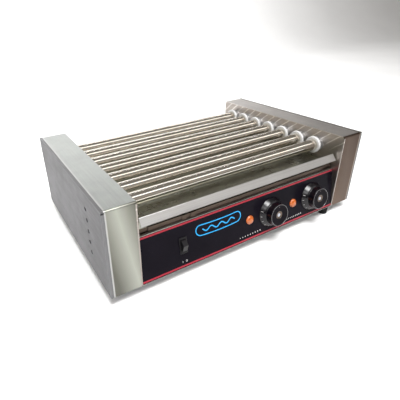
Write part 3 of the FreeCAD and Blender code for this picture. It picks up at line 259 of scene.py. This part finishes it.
def brushed(name, color, roughness, across, grain=1.0, smudge=1.0, contrast=1.0, wave=0.0, lean=0.0,
            front=None, bend_light=None, rim=None, roller_reflections=None):
    """Brushed sheet: across is 1 on the axis that the grain runs across and 0 on the others.

    lean tips the sheet's shading with height, and wave dents it broadly. front and roller_reflections hold
    the measures and colours of painted_front_reflection and painted_roller_reflections; bend_light and rim
    are the colours of painted_light_on_bend and painted_rim_highlight. All four are painted light and shade
    in the colour.
    """
    def grained(over, along, **settings):
        return look.noise(tuple(over * a + along for a in across), **settings)

    look = Look(name, metallic=1.0)
    fine = grained(2600, 30, detail=2)
    streak = grained(420, 5, detail=3, rough=0.6)
    cloud = look.noise(9, detail=4, rough=0.6, distortion=0.6)
    grease = look.noise(34, detail=3, rough=0.7, offset=(3, 1, 7))
    tone = look.sum((fine, 0.18 * grain), (streak, 0.30 * grain),
                    (cloud, 0.34 * smudge), (grease, 0.2 * smudge))
    total = 0.48 * grain + 0.54 * smudge
    half = 0.14 / contrast
    tint = look.mottled(tone, color, 1 - 0.20 * contrast, 1 + 0.12 * contrast,
                        (0.5 - half) * total, (0.5 + half) * total)
    if front:
        tint = painted_front_reflection(look, tint, streak, cloud, **front)
    if bend_light:
        tint = painted_light_on_bend(look, tint, bend_light)
    if roller_reflections:
        tint = painted_roller_reflections(look, tint, cloud, grease, **roller_reflections)
    if rim:
        tint = painted_rim_highlight(look, tint, rim)
    look.put("Base Color", tint)
    look.put("Roughness", look.sum(roughness - 0.1, (streak, 0.08 * grain), (cloud, 0.09 * smudge),
                                   (grease, 0.05 * smudge)))
    look.bump(fine, 0.04 * MM * grain, 0.5)
    look.bump(streak, 0.04 * MM * grain, 0.5)
    if lean:
        look.bump(look.axis("Z"), lean)
    if wave:
        look.bump(grained(16, 1.5, detail=1), 1.6 * MM * wave)
    return look.material


def tray_sheet(name, lip_color, shaded_pan_color):
    """Tray sheet: a brushed lip, and a pan painted darker as shade under the rollers, glossier, with stains
    of old fat.
    """
    look = Look(name, metallic=1.0)
    fine = look.noise((30, 2600, 2600), detail=2)
    streak = look.noise((5, 420, 420), detail=3, rough=0.6)
    cloud = look.noise(12, detail=4, rough=0.6, distortion=0.6)
    stain = look.noise(24, detail=3, rough=0.6, distortion=0.3, offset=(2, 5, 1))
    pan = look.spread(look.axis("Y"), *PAN_Y)
    lit_tone = look.mottled(streak, lip_color, 0.92, 1.06)
    # The pan's darker colour is painted shade under the rollers; the stain pattern adds old fat.
    shaded_stained_pan = look.mottled(cloud, shaded_pan_color, 0.85, 1.12)
    shaded_stained_pan = look.mix(look.spread(stain, 0.40, 0.80, 0, 0.25), shaded_stained_pan, shade(shaded_pan_color, 0.6))
    look.put("Base Color", look.mix(pan, lit_tone, shaded_stained_pan))
    look.put("Roughness", look.sum((pan, -0.16), 0.36, (streak, 0.06), (cloud, 0.05), (stain, 0.05)))
    look.bump(fine, 0.03 * MM, 0.4)
    return look.material


def polished_tube(name, color):
    """Polished tube: faint rings from the grinding wheel, baked-on fat, heat tint at the right end."""
    look = Look(name, metallic=1.0)
    rings = look.noise((1900, 25, 25), detail=2)
    bands = look.noise((60, 4, 4), detail=3, rough=0.6)
    baked = look.noise((14, 60, 60), detail=3, rough=0.6)
    heated = look.spread(look.axis("X"), *HEAT_TINT_X)
    brown = shade((color[0], color[1] * 0.93, color[2] * 0.82), 0.92)
    tint = look.mix(look.spread(baked, 0.45, 0.72, 0, 0.6), color, brown)
    tint = look.mix(look.times(heated, 0.3), tint, shade(brown, 0.9))
    look.put("Base Color", look.mix(look.spread(bands, 0.3, 0.7, 0, 0.25), tint, shade(color, 1.08)))
    look.put("Roughness", look.sum(0.075, (rings, 0.04), (baked, 0.03), (bands, 0.02)))
    look.bump(rings, 0.003 * MM, 0.4)
    return look.material


def moulded(name, color, roughness, texture=900, depth=0.03 * MM, wear=0.12, **constants):
    """Moulded plastic or rubber: fine spark texture, slight colour drift, and dusty rough patches."""
    look = Look(name, **constants)
    fine = look.noise(texture, detail=2)
    cloud = look.noise(26, detail=4, rough=0.6)
    look.put("Base Color", look.mottled(cloud, color, 1 - wear, 1 + wear, 0.3, 0.75))
    look.put("Roughness", look.sum(roughness - 0.08, (fine, 0.06), (cloud, 0.12)))
    look.bump(fine, depth, 0.4)
    return look.material


def cast_or_plated(name, color, roughness, scale=160, metallic=1.0):
    """Zinc plate, oiled chain steel, die-cast or oxidised metal: a mottled crystalline surface."""
    look = Look(name, metallic=metallic)
    mottle = look.noise(scale, detail=4, rough=0.65)
    tone = look.sum((mottle, 0.7), (look.cells(scale * 1.6), 0.3))
    look.put("Base Color", look.mottled(tone, color, 0.72, 1.18, 0.3, 0.6))
    look.put("Roughness", look.sum(roughness - 0.1, (mottle, 0.22)))
    look.bump(mottle, 0.05 * MM, 0.4)
    return look.material


def film_material():
    """Black panel film: deep, fairly glossy, with a little dust on it."""
    look = Look("panel_film", Specular_IOR_Level=0.04)
    grain = look.noise(1800, detail=2)
    cloud = look.noise(14, detail=3)
    dust = look.spread(look.noise(520, detail=2, rough=0.8), 0.70, 0.78)
    base = look.mix(look.spread(cloud, 0.3, 0.7), (0.0045, 0.0036, 0.0062), (0.0075, 0.0060, 0.0098))
    look.put("Base Color", look.mix(look.times(dust, 0.10), base, (0.25, 0.24, 0.24)))
    look.put("Roughness", look.sum(0.16, (grain, 0.08), (cloud, 0.08)))
    look.bump(grain, 0.01 * MM, 0.3)
    return look.material


def ink(name, color):
    """Screen-printed ink: even colour with a slight mottle and a soft sheen."""
    look = Look(name, Specular_IOR_Level=0.35)
    mottle = look.noise(900, detail=2)
    look.put("Base Color", look.mottled(mottle, color, 0.88, 1.08))
    look.put("Roughness", look.sum(0.3, (mottle, 0.1)))
    look.bump(mottle, 0.01 * MM, 0.3)
    return look.material


def lens_material(name, color, glow):
    """Tinted lens: cloudy colour under a clear coat, with a faint light of its own."""
    look = Look(name, Coat_Weight=0.6, Coat_Roughness=0.08)
    flow = look.noise(420, detail=3, distortion=0.6)
    tint = look.mottled(flow, color, 0.72, 1.15)
    look.put("Base Color", tint)
    look.put("Emission Color", tint)
    look.put("Emission Strength", glow)
    look.put("Roughness", look.sum(0.12, (flow, 0.12)))
    return look.material


ACROSS_X = (1, 0, 0)
ACROSS_Y = (0, 1, 0)
ACROSS_Z = (0, 0, 1)

# The shells are one steel: their different base colours are painted reflection, and their front and bend
# colours are painted reflection, shade and highlight.
SHELL_LEFT = brushed("steel_shell_left", (0.37, 0.385, 0.37), 0.40, ACROSS_X, wave=0.6, smudge=1.3,
                     front=dict(low=(0.125, 0.123, 0.108), high=(0.120, 0.118, 0.098),
                                lit_tone=(0.42, 0.43, 0.38), centre=-230.6 * MM, half=34 * MM),
                     bend_light=(0.46, 0.46, 0.45))
SHELL_RIGHT = brushed("steel_shell_right", (0.56, 0.53, 0.51), 0.36, ACROSS_X, wave=0.6,
                      front=dict(low=(0.125, 0.080, 0.054), high=(0.066, 0.040, 0.027),
                                 lit_tone=(0.100, 0.068, 0.050), centre=284 * MM, half=30 * MM),
                      bend_light=(0.30, 0.25, 0.21))
# The cover's rim colour is a painted highlight on its front and top edges.
COVER = brushed("steel_side_cover", (0.150, 0.148, 0.154), 0.42, ACROSS_Z, smudge=1.8, grain=1.4,
                contrast=1.9, wave=0.8, rim=(0.19, 0.19, 0.195))
# The wall's slanted bright lines are painted reflections of the rollers.
WALL = brushed("steel_inner_wall", (0.37, 0.335, 0.305), 0.36, ACROSS_Z, grain=0.8, lean=30 * MM,
               roller_reflections=dict(spacing=22.2 * MM, slant=1.14, bright=(0.72, 0.68, 0.63)))
# A dark steel that paints the shade under the tray's lip onto the heat shield and the runners.
SHADED_STEEL = brushed("steel_painted_shade", (0.10, 0.075, 0.06), 0.45, ACROSS_Y, grain=0.6, smudge=1.4)
PANEL = brushed("steel_panel", (0.56, 0.54, 0.50), 0.32, ACROSS_Z)
# The pan colour here is painted shade under the rollers.
TRAY = tray_sheet("steel_tray", (0.72, 0.71, 0.70), (0.36, 0.36, 0.31))
TUBE = polished_tube("steel_roller", (0.74, 0.70, 0.63))
ZINC = cast_or_plated("zinc_plate", (0.55, 0.56, 0.58), 0.38)
DRIVE = cast_or_plated("oiled_steel", (0.22, 0.21, 0.20), 0.42, scale=300)
SHEATH = cast_or_plated("oxidised_sheath", (0.20, 0.19, 0.18), 0.55, scale=220)
BRASS = cast_or_plated("busbar_brass", (0.66, 0.48, 0.22), 0.34)
MOTOR = cast_or_plated("motor_paint", (0.16, 0.17, 0.19), 0.45, scale=500, metallic=0.3)
TRIM = cast_or_plated("trim_bright", (0.22, 0.22, 0.23), 0.3, scale=500)
DISC = cast_or_plated("disc_spun", (0.16, 0.125, 0.10), 0.34, scale=700)
CAP = cast_or_plated("disc_cap", (0.50, 0.52, 0.58), 0.34, scale=700)
PTFE = moulded("ptfe_white", (0.56, 0.56, 0.56), 0.42, wear=0.05)
CERAMIC = moulded("ceramic_cream", (0.74, 0.70, 0.60), 0.5, texture=500)
BLACK_GLOSS = moulded("knob_gloss", (0.0020, 0.0014, 0.0028), 0.24, texture=1500, depth=0.01 * MM,
                      wear=0.2, Specular_IOR_Level=0.45)
KNOB_FACE = moulded("knob_face", (0.0032, 0.0020, 0.0040), 0.30, texture=1500, depth=0.01 * MM,
                    wear=0.2, Specular_IOR_Level=0.05)
BLACK_SATIN = moulded("switch_satin", (0.0055, 0.0050, 0.0060), 0.30, texture=1400,
                      Specular_IOR_Level=0.22)
RUBBER = moulded("black_rubber", (0.012, 0.012, 0.013), 0.7, texture=600, depth=0.06 * MM, wear=0.3,
                 Specular_IOR_Level=0.1)
NYLON = moulded("gland_nylon", (0.03, 0.03, 0.032), 0.45)
WIRE = moulded("wire_silicone", (0.62, 0.58, 0.50), 0.55, wear=0.1)
FILM_BLACK = film_material()
RED = ink("ink_red", (0.34, 0.008, 0.026))
CYAN = ink("ink_cyan", (0.010, 0.36, 0.78))
WHITE = ink("ink_white", (0.62, 0.61, 0.60))
GREY = ink("ink_grey", (0.20, 0.17, 0.18))
AMBER = lens_material("lens_amber", (0.44, 0.095, 0.010), 0.07)

BY_NODE = {
    "left_housing_shell": SHELL_LEFT, "right_housing_shell": SHELL_RIGHT,
    "left_side_cover": COVER, "right_side_cover": COVER,
    "left_inner_wall": WALL, "right_inner_wall": WALL,
    "drip_tray": TRAY, "control_panel": PANEL,
    "heat_shield": SHADED_STEEL, "tray_runners": SHADED_STEEL,
}
BY_SLOT = {
    "wall_steel": PANEL, "roller_steel": TUBE, "zinc_steel": ZINC, "drive_steel": DRIVE,
    "white_ptfe": PTFE, "element_sheath": SHEATH, "ceramic": CERAMIC, "busbar_brass": BRASS,
    "motor_metal": MOTOR, "panel_film": FILM_BLACK, "knob_black": BLACK_GLOSS,
    "switch_black": BLACK_SATIN, "lamp_amber": AMBER, "black_rubber": RUBBER,
    "gland_nylon": NYLON, "wire_insulation": WIRE,
}
slot_of = {part["node"]: part["material_slot"] for part in frame["record"]["subparts"]}
for node_name, node in frame["nodes"].items():
    node.data.materials.clear()
    node.data.materials.append(BY_NODE.get(node_name) or BY_SLOT[slot_of[node_name]])


# ---------------------------------------------------------------- mesh helpers

def finish_piece(name, mesh, material, body, place, smooth_angle=32):
    """Links a mesh as a piece of the grill with smooth shading, sharp past an angle, and its material."""
    piece = bpy.data.objects.new(name, mesh)
    bpy.context.scene.collection.objects.link(piece)
    mesh.transform(place)
    mesh.materials.append(material)
    mesh.shade_smooth()
    mesh.set_sharp_from_angle(angle=math.radians(smooth_angle))
    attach(piece, body)
    return piece


def mesh_of(name, points, faces):
    """A mesh with coinciding points joined and its faces turned outwards."""
    mesh = bpy.data.meshes.new(name)
    mesh.from_pydata([tuple(p) for p in points], [], faces)
    build = bmesh.new()
    build.from_mesh(mesh)
    bmesh.ops.remove_doubles(build, verts=build.verts, dist=1e-7)
    bmesh.ops.recalc_face_normals(build, faces=build.faces)
    build.to_mesh(mesh)
    build.free()
    return mesh


def in_mm(*points):
    """Points of an outline that are given in millimetres."""
    return [(a * MM, b * MM) for a, b in points]


def softened(outline, radius, steps=4):
    """The outline (r, z) with each inner corner rounded by an arc-like curve."""
    points = [outline[0]]
    for before, corner, after in zip(outline, outline[1:], outline[2:]):
        a = Vector(before)
        b = Vector(corner)
        c = Vector(after)
        reach = min(radius, 0.42 * (a - b).length, 0.42 * (c - b).length)
        first = b + (a - b).normalized() * reach
        last = b + (c - b).normalized() * reach
        for i in range(steps + 1):
            t = i / steps
            points.append(tuple(first * (1 - t) ** 2 + b * (2 * t * (1 - t)) + last * t ** 2))
    points.append(outline[-1])
    return points


def lathe(name, outline, segments, wobble=None):
    """Surface of revolution about Z; wobble(angle, r, z) may change the radius as it goes round."""
    points = []
    faces = []
    for i in range(segments):
        angle = 2 * math.pi * i / segments
        for r, z in outline:
            radius = wobble(angle, r, z) if wobble else r
            points.append((radius * math.cos(angle), radius * math.sin(angle), z))
    rows = len(outline)
    for i in range(segments):
        j = (i + 1) % segments
        for k in range(rows - 1):
            faces.append((i * rows + k, j * rows + k, j * rows + k + 1, i * rows + k + 1))
    return mesh_of(name, points, faces)


def plate(name, outline, thickness):
    """Thin prism over a closed outline of (x, y) points, from z = 0 up."""
    count = len(outline)
    points = [(x, y, 0) for x, y in outline] + [(x, y, thickness) for x, y in outline]
    faces = [tuple(range(count))[::-1], tuple(range(count, 2 * count))]
    faces += [(i, (i + 1) % count, count + (i + 1) % count, count + i) for i in range(count)]
    return mesh_of(name, points, faces)


def upright_bar(name, x, low, high, half_width, thickness):
    """Flat bar centred on x that reaches from low to high."""
    left, right = x - half_width, x + half_width
    return plate(name, [(left, low), (right, low), (right, high), (left, high)], thickness)


def joined(name, meshes):
    """One mesh made of several."""
    build = bmesh.new()
    for mesh in meshes:
        build.from_mesh(mesh)
    result = bpy.data.meshes.new(name)
    build.to_mesh(result)
    build.free()
    for mesh in meshes:
        bpy.data.meshes.remove(mesh)
    return result


def stroke(line, width, closed=False):
    """Flat printed line of even width along (x, y) points."""
    count = len(line)
    left = []
    right = []
    for i, (x, y) in enumerate(line):
        ahead = line[(i + 1) % count] if closed or i + 1 < count else line[i]
        behind = line[i - 1] if closed or i > 0 else line[i]
        run = (Vector(ahead) - Vector(behind)).normalized() * width / 2
        left.append((x - run.y, y + run.x))
        right.append((x + run.y, y - run.x))
    if not closed:
        return plate("stroke", left + right[::-1], INK)
    points = [(x, y, z) for z in (0, INK) for x, y in left + right]
    faces = []
    for i in range(count):
        j = (i + 1) % count
        for low, high, turn in ((0, count, 1), (2 * count, 3 * count, -1)):
            faces.append((low + i, low + j, high + j, high + i)[::turn])
        faces.append((i, j, 2 * count + j, 2 * count + i))
        faces.append((count + i, count + j, 3 * count + j, 3 * count + i))
    return mesh_of("stroke", points, faces)


# ---------------------------------------------------------------- printed panel

# How far up the panel each print is, by its middle, or by its foot for the heat scales.
RED_LINES = {"lower": 4.5 * MM, "upper": 83.5 * MM}
SIGN_LINE = 58 * MM
SCALE_LINE = 11.5 * MM
MARKS_LINE = 13 * MM

# The sign's place along the panel, its length, and how far its ends bow upwards.
SIGN_X = -72 * MM
SIGN_LENGTH = 100 * MM
SIGN_BEND = 2.5 * MM

# The middles of the controls along the panel.
knob_x = [middle_x("knob_1"), middle_x("knob_2")]
light_x = [middle_x("pilot_light_1"), middle_x("pilot_light_2")]
rocker_x = middle_x("rocker_housing")


def print_on_panel(name, meshes, material, x, line):
    place = film_place(x, line)
    finish_piece(name, joined(name, meshes), material, "chassis", place)


def bowed(x):
    """How far the sign's curve has risen at x from its middle."""
    return SIGN_BEND * (x / (SIGN_LENGTH / 2)) ** 2


def bun_outline(radius):
    """Outline of a bun: two round ends and a body that bows upwards at both ends."""
    end_steps = 12
    body_steps = 8
    half = SIGN_LENGTH / 2 - radius
    points = []
    for side, turn in ((1, 0), (-1, math.pi)):
        for i in range(end_steps + 1):
            a = math.pi * (i / end_steps - 0.5) + turn
            points.append((side * half + radius * math.cos(a), radius * math.sin(a)))
        for i in range(1, body_steps):
            points.append((side * half * (1 - 2 * i / body_steps), side * radius))
    return [(x, y + bowed(x)) for x, y in points]


def sauce_line():
    """Wavy line of sauce that follows the bun."""
    steps = 60
    points = []
    for i in range(steps + 1):
        x = (i / steps - 0.5) * 72 * MM
        points.append((x, bowed(x) + 3.2 * MM * math.sin(x / (3.6 * MM))))
    return points


def heat_scale(length):
    """A row of bars that grow: more heat to the right."""
    bars = 9
    marks = []
    for i in range(bars):
        share = i / (bars - 1)
        marks.append(upright_bar("bar", (share - 0.5) * length, 0, (1.3 + 1.8 * share) * MM, 0.8 * MM, INK))
    return marks


def switch_marks():
    """The usual bar and ring of a mains switch."""
    apart = 4 * MM
    radius = 1.5 * MM
    points = 24
    angles = [2 * math.pi * i / points for i in range(points)]
    ring = [(apart + radius * math.cos(a), radius * math.sin(a)) for a in angles]
    bar = [(-apart, -radius), (-apart, radius)]
    return [stroke(bar, 0.8 * MM), stroke(ring, 0.7 * MM, closed=True)]


red_end = film_box[1].x - 0.4 * MM
for label, line in RED_LINES.items():
    red_line = stroke([(-red_end, 0), (red_end, 0)], 3.2 * MM)
    print_on_panel(f"panel_line_{label}", [red_line], RED, 0, line)
sign = [stroke(bun_outline(10 * MM), 1.8 * MM, closed=True), stroke(sauce_line(), 2.2 * MM)]
print_on_panel("panel_sign", sign, CYAN, SIGN_X, SIGN_LINE)
print_on_panel("panel_scale_1", heat_scale(50 * MM), WHITE, light_x[0], SCALE_LINE)
print_on_panel("panel_scale_2", heat_scale(40 * MM), WHITE, light_x[1] + 3 * MM, SCALE_LINE)
print_on_panel("panel_switch_marks", switch_marks(), WHITE, rocker_x, MARKS_LINE)


# ---------------------------------------------------------------- controls

# A knob's radii and heights above the film, in millimetres: the gap under its skirt, the skirt's rim
# and the top of its cone, the grip, and the dish in the top of the grip.
SEAM = 0.3
SKIRT = 30
SKIRT_RIM = 1.6
CONE_TOP = 9.6
GRIP = 22.2
CONE_INNER = GRIP + 2.4
HIGH = 24.0
DISH = 7.4
DISC_RADIUS = DISH - 0.15

KNOB_SEGMENTS = 128

knob_outline = in_mm(
    (3.2, 5), (8, 5), (8, 18), (GRIP - 3, 18), (GRIP - 3, 10),
    (SKIRT - 3, SEAM), (SKIRT, SEAM), (SKIRT, SKIRT_RIM), (CONE_INNER, CONE_TOP),
    (GRIP + 1.0, 10.6), (GRIP + 0.2, 11.4), (GRIP - 0.2, HIGH - 0.6),
    (GRIP - 0.9, HIGH), (GRIP - 1.6, HIGH), (GRIP - 2.1, HIGH - 0.9),
    (DISH + 0.8, HIGH - 1.2), (DISH, HIGH - 2.0), (DISH, HIGH - 3.4), (0, HIGH - 3.4))


def skirt_height(radius):
    """Height of the skirt's cone at a radius, in millimetres."""
    share = (SKIRT - radius) / (SKIRT - CONE_INNER)
    return SKIRT_RIM + share * (CONE_TOP - SKIRT_RIM)


def skirt_tick(angle, inner, outer, width):
    """Printed tick that lies on the skirt's cone, between two radii in millimetres."""
    points = []
    for radius in (inner, outer):
        for side in (-1, 1):
            for lift in (-0.05 * MM, INK):
                reach = width / 2 * side
                x = radius * math.sin(angle) + reach * math.cos(angle)
                y = radius * math.cos(angle) - reach * math.sin(angle)
                points.append((x * MM, y * MM, skirt_height(radius) * MM + lift))
    faces = [(0, 1, 3, 2), (4, 6, 7, 5), (0, 4, 5, 1), (2, 3, 7, 6), (1, 5, 7, 3), (0, 2, 6, 4)]
    return mesh_of("tick", points, faces)


def skirt_ticks():
    """Eleven ticks round the lower part of the skirt, each fifth one longer."""
    ticks = []
    for i in range(11):
        length = 1.6 if i % 5 == 0 else 0.8
        ticks.append(skirt_tick(math.radians(70 + 22 * i), SKIRT - 2.0 - length, SKIRT - 1.2, 0.7))
    return joined("scale", ticks)


def dished_disc():
    """Spun disc that fills the dish, hollow in its middle."""
    steps = 12
    top = [(DISC_RADIUS * i / steps, HIGH - 3.0 + 1.3 * (i / steps) ** 2) for i in range(steps + 1)]
    return lathe("disc", in_mm(*top, (DISC_RADIUS, HIGH - 3.3), (0, HIGH - 3.3)), 96)


def knob_pieces():
    """What is set in or printed on a knob: name, mesh, material and slot of each."""
    face = in_mm((DISH + 1.0, HIGH - 1.4), (DISH + 1.0, HIGH - 1.13),
                 (GRIP - 2.3, HIGH - 0.85), (GRIP - 2.3, HIGH - 1.4))
    rim = softened(in_mm((GRIP - 1.0, HIGH - 0.05), (GRIP - 0.9, HIGH + 0.12),
                         (GRIP - 1.6, HIGH + 0.12), (GRIP - 1.5, HIGH - 0.05)), 0.1 * MM, 2)
    cap = softened(in_mm((0, HIGH - 3.1), (3.4, HIGH - 3.1), (3.4, HIGH - 2.1), (0, HIGH - 1.9)),
                   0.3 * MM)
    pointer = upright_bar("pointer", 0, 15.4 * MM, 19.2 * MM, 0.4 * MM, 0.25 * MM)
    pointer.transform(Matrix.Translation((0, 0, (HIGH - 1.15) * MM)))
    return (
        ("face", lathe("face", face + face[:1], KNOB_SEGMENTS), KNOB_FACE, "knob_black"),
        ("rim", lathe("rim", rim + rim[:1], KNOB_SEGMENTS), TRIM, "roller_steel"),
        ("disc", dished_disc(), DISC, "roller_steel"),
        ("cap", lathe("cap", cap, 64), CAP, "roller_steel"),
        ("scale", skirt_ticks(), WHITE, "knob_black"),
        ("pointer", pointer, GREY, "knob_black"))


for number, x in enumerate(knob_x, 1):
    body = f"knob_{number}_assembly"
    seat = film_place(x, CONTROL_LINE)
    grip_mesh = lathe("grip", softened(knob_outline, 0.5 * MM), KNOB_SEGMENTS)
    grip = finish_piece(f"knob_grip_{number}", grip_mesh, BLACK_GLOSS, body, seat)
    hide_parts(f"knob_{number}")
    for what, mesh, material, slot in knob_pieces():
        finish_piece(f"knob_{what}_{number}", mesh, material, body, seat)


LENS = 8.75
BARREL = 5.9
BARREL_END = -24.2
FACET = math.pi / 6


def lens_facets(angle, radius, z):
    """Twelve shallow bulges round the lens's slope."""
    if radius < 2 * MM or z < 1.3 * MM:
        return radius
    off_middle = angle % FACET - FACET / 2
    return radius * (1 - 1.05 * (1 - math.cos(off_middle) / math.cos(FACET / 2)))


lens_outline = in_mm(
    (LENS - 0.1, 0), (LENS - 0.1, 1.1), (LENS - 0.8, 1.7), (LENS - 1.7, 2.8),
    (LENS - 3.4, 4.0), (LENS - 5.6, 4.6), (0, 4.8))
barrel_outline = in_mm(
    (0, -0.2), (BARREL, -0.2), (BARREL, BARREL_END + 0.3), (BARREL - 0.7, BARREL_END), (0, BARREL_END))
for number, x in enumerate(light_x, 1):
    seat = film_place(x, CONTROL_LINE)
    lens_mesh = lathe("lens", softened(lens_outline, 0.4 * MM), 96, lens_facets)
    lens = finish_piece(f"pilot_lens_{number}", lens_mesh, AMBER, "chassis", seat, 18)
    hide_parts(f"pilot_light_{number}")
    barrel_mesh = lathe("barrel", softened(barrel_outline, 0.4 * MM), 48)
    finish_piece(f"pilot_barrel_{number}", barrel_mesh, BLACK_SATIN, "chassis", seat)


# ---------------------------------------------------------------- stage, lights and camera

def stage_floor():
    """Pale floor that curves up into a backdrop behind the grill."""
    front = -3.0
    bend_start = 1.6
    bend = 0.8
    top = 2.1
    half_width = 5.0
    steps = 16
    profile = [(front, 0.0), (bend_start, 0.0)]
    for i in range(1, steps + 1):
        a = math.radians(90 * i / steps)
        profile.append((bend_start + bend * math.sin(a), bend - bend * math.cos(a)))
    profile.append((bend_start + bend, top))
    points = [(x, y, z) for y, z in profile for x in (-half_width, half_width)]
    faces = [(2 * i, 2 * i + 1, 2 * i + 3, 2 * i + 2) for i in range(len(profile) - 1)]
    floor = bpy.data.objects.new("stage_floor", mesh_of("stage_floor", points, faces))
    bpy.context.scene.collection.objects.link(floor)
    floor.data.shade_smooth()
    look = Look("stage_pale", Roughness=0.9, Specular_IOR_Level=0.1)
    pale = look.mix(look.spread(look.noise(2), 0.3, 0.7), (0.86, 0.86, 0.86), (0.90, 0.90, 0.90))
    look.put("Base Color", pale)
    floor.data.materials.append(look.material)


def softbox(name, at, aim, size, power, color=(1, 1, 1)):
    light = bpy.data.lights.new(name, "AREA")
    light.shape = "RECTANGLE"
    light.size, light.size_y = size
    light.energy = power
    light.color = color
    lamp = bpy.data.objects.new(name, light)
    lamp.location = at
    lamp.rotation_euler = (Vector(aim) - Vector(at)).to_track_quat("-Z", "Y").to_euler()
    bpy.context.scene.collection.objects.link(lamp)


def world(color, strength):
    scene_world = bpy.data.worlds.new("studio")
    bpy.context.scene.world = scene_world
    scene_world.use_nodes = True
    background = scene_world.node_tree.nodes["Background"]
    background.inputs["Color"].default_value = (*color, 1)
    background.inputs["Strength"].default_value = strength


def camera(at, yaw, pitch, roll, lens, shift):
    """Camera at a point, turned right by yaw, down by pitch and about its own line of sight by roll."""
    yaw, pitch, roll = (math.radians(angle) for angle in (yaw, pitch, roll))
    ahead = Vector((math.sin(yaw) * math.cos(pitch), math.cos(yaw) * math.cos(pitch), -math.sin(pitch)))
    right = Vector((math.cos(yaw), -math.sin(yaw), 0))
    up = right.cross(ahead)
    side = right * math.cos(roll) + up * math.sin(roll)
    top = up * math.cos(roll) - right * math.sin(roll)
    data = bpy.data.cameras.new("camera")
    data.sensor_width = 36
    data.lens = lens
    data.shift_x, data.shift_y = shift
    data.clip_start = 0.02
    view = bpy.data.objects.new("camera", data)
    view.matrix_world = Matrix((
        (side.x, top.x, -ahead.x, at[0]),
        (side.y, top.y, -ahead.y, at[1]),
        (side.z, top.z, -ahead.z, at[2]),
        (0, 0, 0, 1)))
    bpy.context.scene.collection.objects.link(view)
    bpy.context.scene.camera = view


stage_floor()
world(color=(0.60, 0.57, 0.53), strength=0.38)
softbox("key", at=(-0.3, -0.9, 2.3), aim=(0.0, 0.0, 0.0), size=(1.0, 1.0), power=80)
softbox("strip", at=(1.05, -0.95, 1.55), aim=(1.05, 0.0, 0.15), size=(2.1, 0.45), power=6)
softbox("left_fill", at=(-2.2, -0.9, 1.9), aim=(0.0, 0.0, 0.0), size=(1.6, 1.6), power=5)
softbox("corner", at=(-1.35, -1.45, 1.7), aim=(0.1, -0.2, 0.1), size=(1.3, 0.7), power=14)
softbox("back_wash", at=(-0.3, 1.1, 1.7), aim=(-0.3, 2.4, 0.6), size=(4.4, 0.5), power=66)
softbox("front_fill", at=(1.2, -2.2, 1.1), aim=(0.1, 0.0, 0.2), size=(2.6, 1.2), power=1.5,
        color=(1.0, 0.92, 0.84))
camera(at=(-0.41251, -0.58606, 0.43238), yaw=28.18, pitch=26.62, roll=-2.57, lens=31.42,
       shift=(0.1066, -0.0497))
bpy.context.scene.view_settings.view_transform = "Standard"

bpy.context.view_layer.update()
